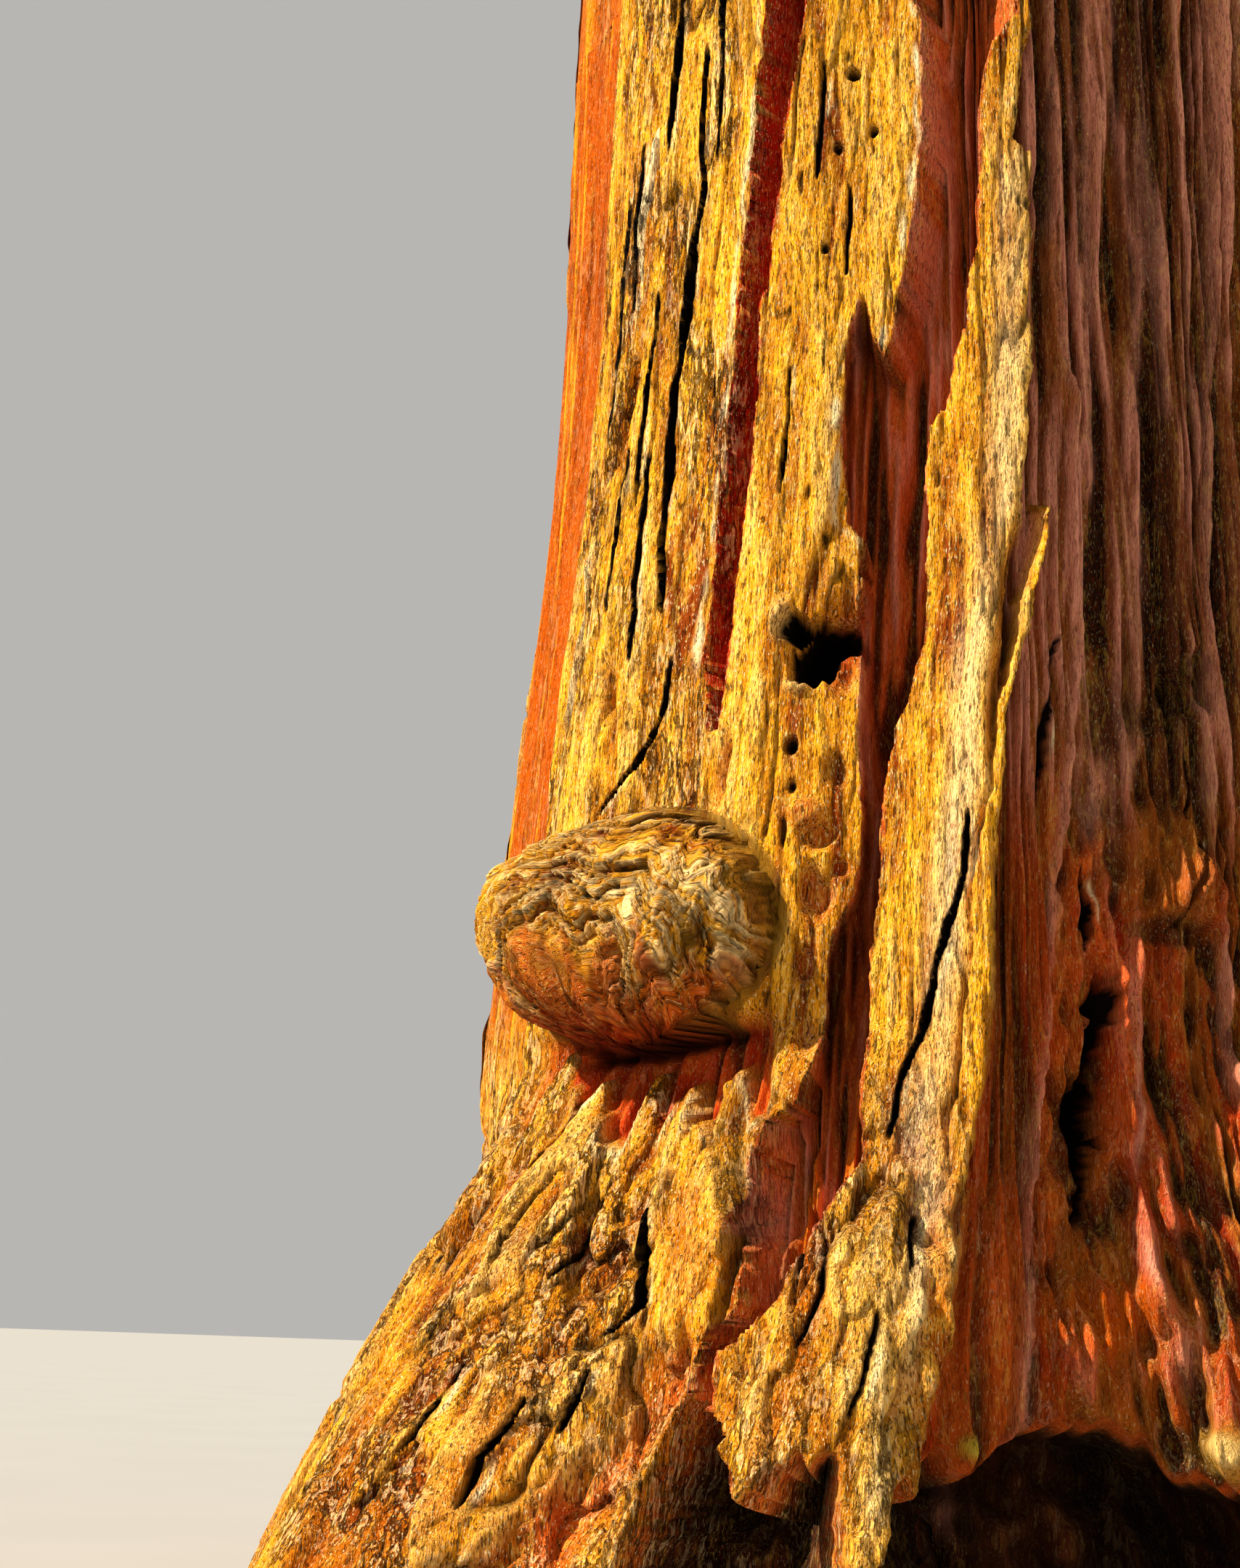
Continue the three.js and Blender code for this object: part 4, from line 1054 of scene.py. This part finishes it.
plans = [plan_limb(i) for i in range(crown["limbs"])]
top_plan = plan_top()
masses = [*plans, top_plan]


def along_limb(plan, t):
    """The limb's line: a curve of the second degree from foot past elbow to entry."""
    foot, elbow, entry = plan["curve"]
    t = np.asarray(t)[..., None]
    return foot * (1 - t) ** 2 + elbow * 2 * t * (1 - t) + entry * t**2


def limb_radius(plan, t):
    """The limb's radius: an even taper, and a collar that falls off by a power."""
    collar = plan["root"] * limb["collar"] * (1 - t) ** limb["collar_power"]
    return between((plan["root"], plan["tip"]), t) + collar


def tubes(paths, radii):
    """Closed tubes along many lines at once. Paths is tubes by rings by 3, and radii is tubes by rings by
    sides: each ring stands square to its line, turned to a level direction. Gives points and faces."""
    count, rings, sides = radii.shape
    ahead = unit(np.gradient(paths, axis=1))
    level = np.where(abs(ahead[..., 2:3]) < 0.9, up, np.array([1.0, 0, 0]))
    side = unit(np.cross(level, ahead))
    over = np.cross(ahead, side)
    a = 2 * np.pi * np.arange(sides) / sides
    ring = side[:, :, None] * np.cos(a)[:, None] + over[:, :, None] * np.sin(a)[:, None]
    points = paths[:, :, None] + ring * radii[..., None]
    i = np.arange(sides)
    j = (i + 1) % sides
    k = np.arange(rings - 1)[:, None] * sides
    walls = np.stack([k + i, k + j, k + sides + j, k + sides + i], -1).reshape(-1, 4)
    first = (np.arange(count) * rings * sides)[:, None, None]
    walls = (walls[None] + first).reshape(-1, 4)
    fans = np.stack([np.zeros(sides - 2, int), i[2:], i[1:-1]], 1)
    last = fans[:, [0, 2, 1]] + (rings - 1) * sides
    caps = (np.concatenate([fans, last])[None] + first).reshape(-1, 3)
    return points.reshape(-1, 3), [walls, caps]


bough_sides = 22
bough_rings = 60
bough_start = 0.3  # how far inside the trunk's surface a limb's mesh starts
bough_relief = {"bulge": 0.07, "cracks": 0.06, "bulges_a_metre": 1.3, "cracks_a_metre": 2.2}
bough_run_radius = 0.5


def bough_lines(plan):
    """A limb's line, its radii, how cracked its bark is, and where the fibres run: its radius by smooth
    numbers for bulges and cracks, on a line that starts just inside the trunk."""
    whole = np.linspace(0, 1, 400)
    line = along_limb(plan, whole)
    away = np.linalg.norm(line[:, :2] - axis_at(line[:, 2])[:, :2], axis=1)
    start = whole[np.argmax(away > tapered_radius(line[:, 2]) - bough_start)]
    t = np.linspace(start, 1, bough_rings)
    line = along_limb(plan, t)
    length = np.concatenate([[0], np.cumsum(np.linalg.norm(np.diff(line, axis=0), axis=1))])[:, None]
    part_round = np.arange(bough_sides)[None, :] / bough_sides
    bulge = field(part_round, length * bough_relief["bulges_a_metre"], 6, 100 + plan["seed"])
    cracks = field(part_round, length * bough_relief["cracks_a_metre"], 11, 200 + plan["seed"])
    relief = 1 + bough_relief["bulge"] * bulge + bough_relief["cracks"] * cracks
    turn = 2 * np.pi * part_round + 0 * length
    run = np.stack([np.cos(turn) * bough_run_radius, np.sin(turn) * bough_run_radius,
                    length + plan["seed"] * 3 + 0 * turn], -1)
    return line, limb_radius(plan, t)[:, None] * relief, smooth(-0.15 - cracks * 1.6), run


lines, radii, cracks, runs = (np.array(rows) for rows in zip(*[bough_lines(plan) for plan in plans]))
points, faces = tubes(lines, radii)
crack = cracks.ravel()
run = runs.reshape(-1, 3)
mottle = field(run[:, 0] + run[:, 1], run[:, 2] * 0.7, 3, 300)
tint = mixed(cinnamon, umber, 0.4 + 0.5 * mottle)
# The bough's cracks, where its relief sinks, are blackened as painted shade.
layers = {"tint": tint, "crack": crack * 0.6, "fibrous": 0.7 - 0.5 * crack, "crazed": 0.3 + 0 * crack,
          "run": run}
boughs = surface("bough_bark", points * metre, faces, layers)
boughs.data.materials.append(bark_finish("bough bark", 0.5))
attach(boughs, "root")
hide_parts(*[f"bough_{plan['name']}" for plan in plans])

# The foliage is evergreen, in dense rounded clumps at the ends of the limbs. Each clump is many cord-like
# sprays, flattened and forked, that turn outwards and up to the light from a fan of twigs.

# Sags and thicknesses are metres, as are clump sizes where a mass is as wide as the lowest. A spray is so
# many metres long, plus a share of its clump's size. Strays, fans, lifts and rises are added to a
# direction one long, and the other numbers are shares.
branch = {"count": 30, "points": 5, "sides": 4, "reach": 0.5, "sag": 0.35, "stem_share": 0.5, "fork_at": 3}
twig = {"points": 4, "sides": 3, "sag": 0.2, "thick": 0.07, "thin": 0.03}
clump = {"count": 46, "sizes": (1.15, 2.1), "stray": 0.12, "rise": 0.3, "rim": 0.98, "lumpy": 0.1}
clump_reach = {"ragged": 0.24, "least": 0.3, "inmost": 0.2}
spray = {"count": 88, "fan": 0.95, "lift": 0.6, "stray": 0.12, "foot": (0.1, 0.55), "long": (0.55, 0.2)}
spray_way = {"vary": (0.75, 1.15), "ahead": 0.7, "rise": 0.35, "ragged": 0.38, "roll": 0.9, "inside": 0.02}
tints = (
    ("deep", paint(66, 96, 38)), ("mid", paint(96, 128, 46)), ("bright", paint(138, 162, 58)),
    ("blue", paint(86, 118, 70)), ("olive", paint(150, 152, 62)), ("dusk", paint(52, 78, 38)),
)
# One spray's outline, in shares of its length: along, across and proud. A slim blade down the middle, and
# three pairs of blades that point ahead and droop a little.
middle_blade = ((0, 0, 0), (0.45, 0.06, 0.02), (1, 0, 0), (0.45, -0.06, 0.02))
side_blades = ((0.12, 0.46, 0.3), (0.32, 0.64, 0.27), (0.54, 0.82, 0.19))
blade_root = 0.1
blade_droop = -0.05


def spray_outline():
    """The spray's points, and its eight triangles, all facing the same way."""
    points = list(middle_blade)
    faces = [(0, 2, 1), (0, 3, 2)]
    for root, tip, out in side_blades:
        for side in (1, -1):
            n = len(points)
            points += [(root, 0, 0), (root + blade_root, 0, 0), (tip, side * out, blade_droop)]
            faces.append((n, n + 1, n + 2) if side > 0 else (n + 1, n, n + 2))
    return np.array(points, float), np.array(faces)


def half_spaces(plan):
    """The flat faces that keep a mass out of its neighbours, the trunk and every limb: a point on each, and
    the direction that it keeps to."""
    through, normals = [], []

    def keep(point, normal):
        """Notes a face by a point on it and the direction that it keeps to."""
        through.append(point)
        normals.append(normal / np.linalg.norm(normal))

    forward = plan["centre"] - plan["stem_from"]
    keep(plan["stem_from"] + unit(forward) * clear, forward)
    for other in masses:
        if other is plan:
            continue
        apart = plan["centre"] - other["centre"]
        part = plan["half"][0] / (plan["half"][0] + other["half"][0])
        keep(plan["centre"] - apart * part + unit(apart) * clear / 2, apart)
        if other is top_plan:
            continue
        steps = along_limb(other, np.linspace(0, 1, 11))
        for k in range(10):
            ahead = steps[k + 1] - steps[k]
            t = clamp((plan["centre"] - steps[k]) @ ahead / (ahead @ ahead))
            near = steps[k] + ahead * t
            off = plan["centre"] - near
            if np.linalg.norm(off) <= plan["half"][0] + other["root"] * (1 + limb["collar"]):
                thick = between((other["root"], other["tip"]), k / 10)
                keep(near + unit(off) * (thick + clear), off)
    if plan is not top_plan:
        low = plan["centre"][2] - plan["half"][2]
        widest = stem_radius(np.arange(0, 360, 5.0), np.full(72, low)).max()
        middle = axis_at(plan["centre"][2]) * np.array([1, 1, 0])
        keep(middle + plan["out"] * (widest + clear_trunk), plan["out"])
    return np.array(through), np.array(normals)


def depth_in(cell, points):
    """How deep each point lies in the cell: the least distance inside its faces, below 0 outside."""
    through, normals = cell
    return (points @ normals.T - (through * normals).sum(1)).min(-1)


def room_along(cell, centre, ways):
    """How far a ray from the centre may go along each unit direction before it leaves the cell."""
    through, normals = cell
    towards = ways @ normals.T
    reach = ((through - centre) * normals).sum(1) / np.where(towards < -1e-9, towards, -1e-9)
    return np.maximum(0, np.where(towards < -1e-9, reach, np.inf).min(-1))


def spread(count, seed):
    """Unit directions spread evenly over a ball by the golden angle."""
    k = np.arange(count)
    z = 1 - (2 * k + 1) / count
    a = np.radians(golden_turn) * k + seed
    r = np.sqrt(1 - z * z)
    return np.stack([r * np.cos(a), r * np.sin(a), z], -1)


def to_rim(plan, d):
    """The way from the mass's centre to its rim, by directions in its own axes."""
    axes = np.stack([plan["out"], plan["across"], up])
    return (d * plan["half"]) @ axes


def place_clumps(plan, cell):
    """A mass's clumps: the way, the foot and the size of each. They are spread evenly, stray by chance, and
    reach to the rim less a lump that goes as the product of two sines, within the cell."""
    count = clump["count"]
    centre = plan["centre"]
    d = unit(spread(count, plan["seed"] + 0.5) + rng.normal(0, clump["stray"], (count, 3)))
    waves = mass["lump_waves"]
    lump = np.sin(waves * d[:, 0] + plan["seed"]) * np.sin(waves * (d[:, 1] + d[:, 2]) + 2 * plan["seed"])
    way = to_rim(plan, d)
    rim = np.linalg.norm(way, axis=1)
    ahead = way / rim[:, None]
    raggedness = clump_reach["ragged"] * rng.random(count) ** 2
    reach = rim * (clump["rim"] - clump["lumpy"] * (1 - lump) / 2 - raggedness)
    reach = np.minimum(reach, room_along(cell, centre, ahead))
    sizes = plan["half"][0] / mass_half[0][0] * rng.uniform(*clump["sizes"], count)
    keep = reach > rim * clump_reach["least"]
    ahead, reach, sizes = ahead[keep], reach[keep], sizes[keep]
    base = centre + ahead * np.maximum(clump_reach["inmost"] * reach, reach - sizes)[:, None]
    return ahead, base, sizes


def sagging(starts, ends, count, sag):
    """Lines from starts to ends that hang below the straight ones as half a wave of a sine."""
    t = np.linspace(0, 1, count)[None, :, None]
    return starts[:, None] + (ends - starts)[:, None] * t - up * sag * np.sin(np.pi * t)


def thinning(lines, thick, thin, sides):
    """Radii that fall evenly along each of many lines."""
    return np.linspace(thick, thin, lines.shape[1])[None, :, None] * np.ones((len(lines), 1, sides))


def place_twigs(plan, cell, ahead, base):
    """Branches from the middle of the mass, and a twig from the nearest of them to each clump, both as
    lines and radii."""
    centre = plan["centre"]
    way = to_rim(plan, spread(branch["count"], plan["seed"]))
    room = np.minimum(np.linalg.norm(way, axis=1), room_along(cell, centre, unit(way)))
    ends = centre + unit(way) * (room * branch["reach"])[:, None]
    main = sagging(centre[None], ends, branch["points"], branch["sag"])
    nearest = np.argmax(ahead @ unit(way).T, axis=1)
    fine = sagging(main[nearest, branch["fork_at"]], base, twig["points"], twig["sag"])
    stem = plan["tip"] * branch["stem_share"]
    return [(main, thinning(main, stem, twig["thick"], branch["sides"])),
            (fine, thinning(fine, twig["thick"], twig["thin"], twig["sides"]))]


def place_sprays(plan, cell, ahead, base, sizes):
    """The sprays of a mass: their roots, their tips and their clumps' numbers. In each clump they fan out
    evenly, turned as a whole by chance, bend upwards, and are left out where they would leave the cell."""
    rise = unit(ahead + up * clump["rise"])
    n, count = len(base), spray["count"]
    s = spread(count, 0)
    own = rng.uniform(0, 2 * np.pi, n)
    turn_c, turn_s = np.cos(own)[:, None], np.sin(own)[:, None]
    s = np.stack([s[:, 0] * turn_c - s[:, 1] * turn_s, s[:, 0] * turn_s + s[:, 1] * turn_c,
                  np.broadcast_to(s[:, 2], (n, count))], -1)
    s = unit(s * spray["fan"] + rise[:, None] * spray["lift"] + rng.normal(0, spray["stray"], s.shape))
    wide = sizes[:, None, None]
    root = base[:, None] + s * (rng.uniform(*spray["foot"], (n, count, 1)) * wide)
    own_length, by_clump = spray["long"]
    long = (own_length + by_clump * wide) * rng.uniform(*spray_way["vary"], (n, count, 1))
    bent = s * spray_way["ahead"] + rise[:, None] * spray_way["rise"]
    tip = root + unit(bent + rng.normal(0, spray_way["ragged"], s.shape)) * long
    root, tip = root.reshape(-1, 3), tip.reshape(-1, 3)
    axes = np.stack([plan["out"], plan["across"], up])
    over = np.linalg.norm((tip - plan["centre"]) @ axes.T / plan["half"], axis=1)
    room = np.minimum(depth_in(cell, root), depth_in(cell, tip))
    fits = (room > spray_way["inside"]) & (over < 1)
    return root[fits], tip[fits], np.repeat(np.arange(n), count)[fits] + 200 * plan["seed"]


outline, outline_faces = spray_outline()
rng = np.random.default_rng(28)
spray_parts = []
twig_parts = []
for plan in masses:
    cell = half_spaces(plan)
    ahead, base, sizes = place_clumps(plan, cell)
    twig_parts += place_twigs(plan, cell, ahead, base)
    spray_parts.append(place_sprays(plan, cell, ahead, base, sizes))

root, tip, clump_number = (np.concatenate(parts) for parts in zip(*spray_parts))
long = np.linalg.norm(tip - root, axis=1)
ahead = (tip - root) / long[:, None]
side = unit(np.cross(ahead, up + rng.normal(0, spray_way["roll"], ahead.shape)))
face = np.cross(ahead, side)
flip = np.where(face[:, 2:] < 0, -1.0, 1.0)
side, face = side * flip, face * flip

# Each spray is dealt one tint: mostly by chance, with some clumps lighter or darker as a whole.
chance = 0.7 * rng.random(len(root)) + 0.3 * share(clump_number, 5)
place_in_order = np.argsort(np.argsort(chance))
tint_number = np.minimum(len(tints) - 1, (place_in_order * len(tints) / len(root)).astype(int))
for k, (name, colour) in enumerate(tints):
    mine = tint_number == k
    axes = np.stack([ahead[mine], side[mine], face[mine]], 1) * long[mine][:, None, None]
    points = root[mine][:, None] + outline @ axes
    first = (np.arange(mine.sum()) * len(outline))[:, None, None]
    faces = (outline_faces[None] + first).reshape(-1, 3)
    made = surface(f"foliage_{name}", points.reshape(-1, 3) * metre, [faces], {}, False)
    leaf = Finish(f"{name} green sprays")
    place = leaf.node("ShaderNodeTexCoord", {}, {}, "Object")
    rough = 0.55 + leaf.noise(place, 9.0) * 0.3
    made.data.materials.append(leaf.end(solid(colour), rough, leaf.noise(place, 60.0), 0.004))
    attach(made, "root")
    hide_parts(*[f"foliage_{plan['name']}" for plan in masses])

# The wood inside each mass, in thin red-brown bark. The limb's own stem carries on to the middle, tapering
# by half, and the branches and twigs that grow from it each taper evenly on their way to a clump.
stems = np.array([[plan["stem_from"], plan["centre"]] for plan in masses])
stem_radii = np.array([[[plan["tip"]] * 4, [plan["tip"] / 2] * 4] for plan in masses])
pieces = [tubes(stems, stem_radii)] + [tubes(path, radius) for path, radius in twig_parts]
counts = np.cumsum([0] + [len(p) for p, _ in pieces])
points = np.concatenate([p for p, _ in pieces])
walls = np.concatenate([f[0] + c for (_, f), c in zip(pieces, counts)])
caps = np.concatenate([f[1] + c for (_, f), c in zip(pieces, counts)])
twigs = surface("foliage_twigs", points * metre, [walls, caps], {})
wood = Finish("twig bark")
place = wood.node("ShaderNodeTexCoord", {}, {}, "Object")
mottle = wood.noise(place, 14.0)
twigs.data.materials.append(wood.end(wood.mix(solid(umber), solid(cinnamon), mottle), 0.9 - mottle * 0.1,
                                     wood.noise(place, 70.0), 0.004))
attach(twigs, "root")
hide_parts(*[f"foliage_{plan['name']}" for plan in masses])

# A plain pale floor, level with the cut, that the tree stands on. It is a disc with a face of many sides,
# wide enough that its edge lies far behind the tree.
floor_radius = 200.0
floor_sides = 96
corners = heading(np.arange(floor_sides) * 360 / floor_sides) * floor_radius
floor = surface("floor", corners, [np.arange(floor_sides)[None]], {}, False)
floor_finish = Finish("pale floor")
place = floor_finish.node("ShaderNodeTexCoord", {}, {}, "Object")
faint = floor_finish.noise(place, 0.8)
pale = floor_finish.mix(solid(paint(166, 165, 163)), solid(paint(172, 171, 169)), faint)
floor.data.materials.append(floor_finish.end(pale, 0.9, faint, 0.002))

# Warm light from the left, as in the afternoon, and a soft pale fill from all round.
sun_bearing = -66
sun_height = 41
sun_width = 1.5


def stood(right, above, behind, place):
    """The matrix that turns a light or a camera to three directions, and stands it at a place."""
    return Matrix(np.vstack([np.column_stack([right, above, behind, place]), [0, 0, 0, 1]]).tolist())


sun_data = bpy.data.lights.new("sun", "SUN")
sun_data.energy = 7.8
sun_data.color = (1.0, 0.9, 0.74)
sun_data.angle = np.radians(sun_width)
sun = bpy.data.objects.new("sun", sun_data)
bpy.context.scene.collection.objects.link(sun)
towards = heading(float(sun_bearing)) * np.cos(np.radians(sun_height)) + up * np.sin(np.radians(sun_height))
right = unit(np.cross(up, towards))
sun.matrix_world = stood(right, np.cross(towards, right), towards, np.zeros(3))

world = bpy.data.worlds.new("pale studio")
bpy.context.scene.world = world
world.use_nodes = True
sky = world.node_tree.nodes["Background"]
sky.inputs["Color"].default_value = (0.92, 0.9, 0.86, 1)
sky.inputs["Strength"].default_value = 0.52

# The camera stands where a visitor does, 15.5 m from the trunk's middle, and looks up at its foot.
eye = np.array([0, -15.5, 1.6])
pitch, yaw, roll = np.radians([14.33, 9.1, 2.0])
ahead = np.array([-np.sin(yaw) * np.cos(pitch), np.cos(yaw) * np.cos(pitch), np.sin(pitch)])
level = np.array([np.cos(yaw), np.sin(yaw), 0])
above = np.cross(level, ahead)
right = np.cos(roll) * level + np.sin(roll) * above
above = -np.sin(roll) * level + np.cos(roll) * above
camera_data = bpy.data.cameras.new("camera")
camera_data.lens = 50
camera_data.sensor_width = 36
camera_data.clip_end = 500
camera = bpy.data.objects.new("camera", camera_data)
bpy.context.scene.collection.objects.link(camera)
camera.matrix_world = stood(right, above, -ahead, eye * metre)
bpy.context.scene.camera = camera
bpy.context.scene.view_settings.view_transform = "Standard"
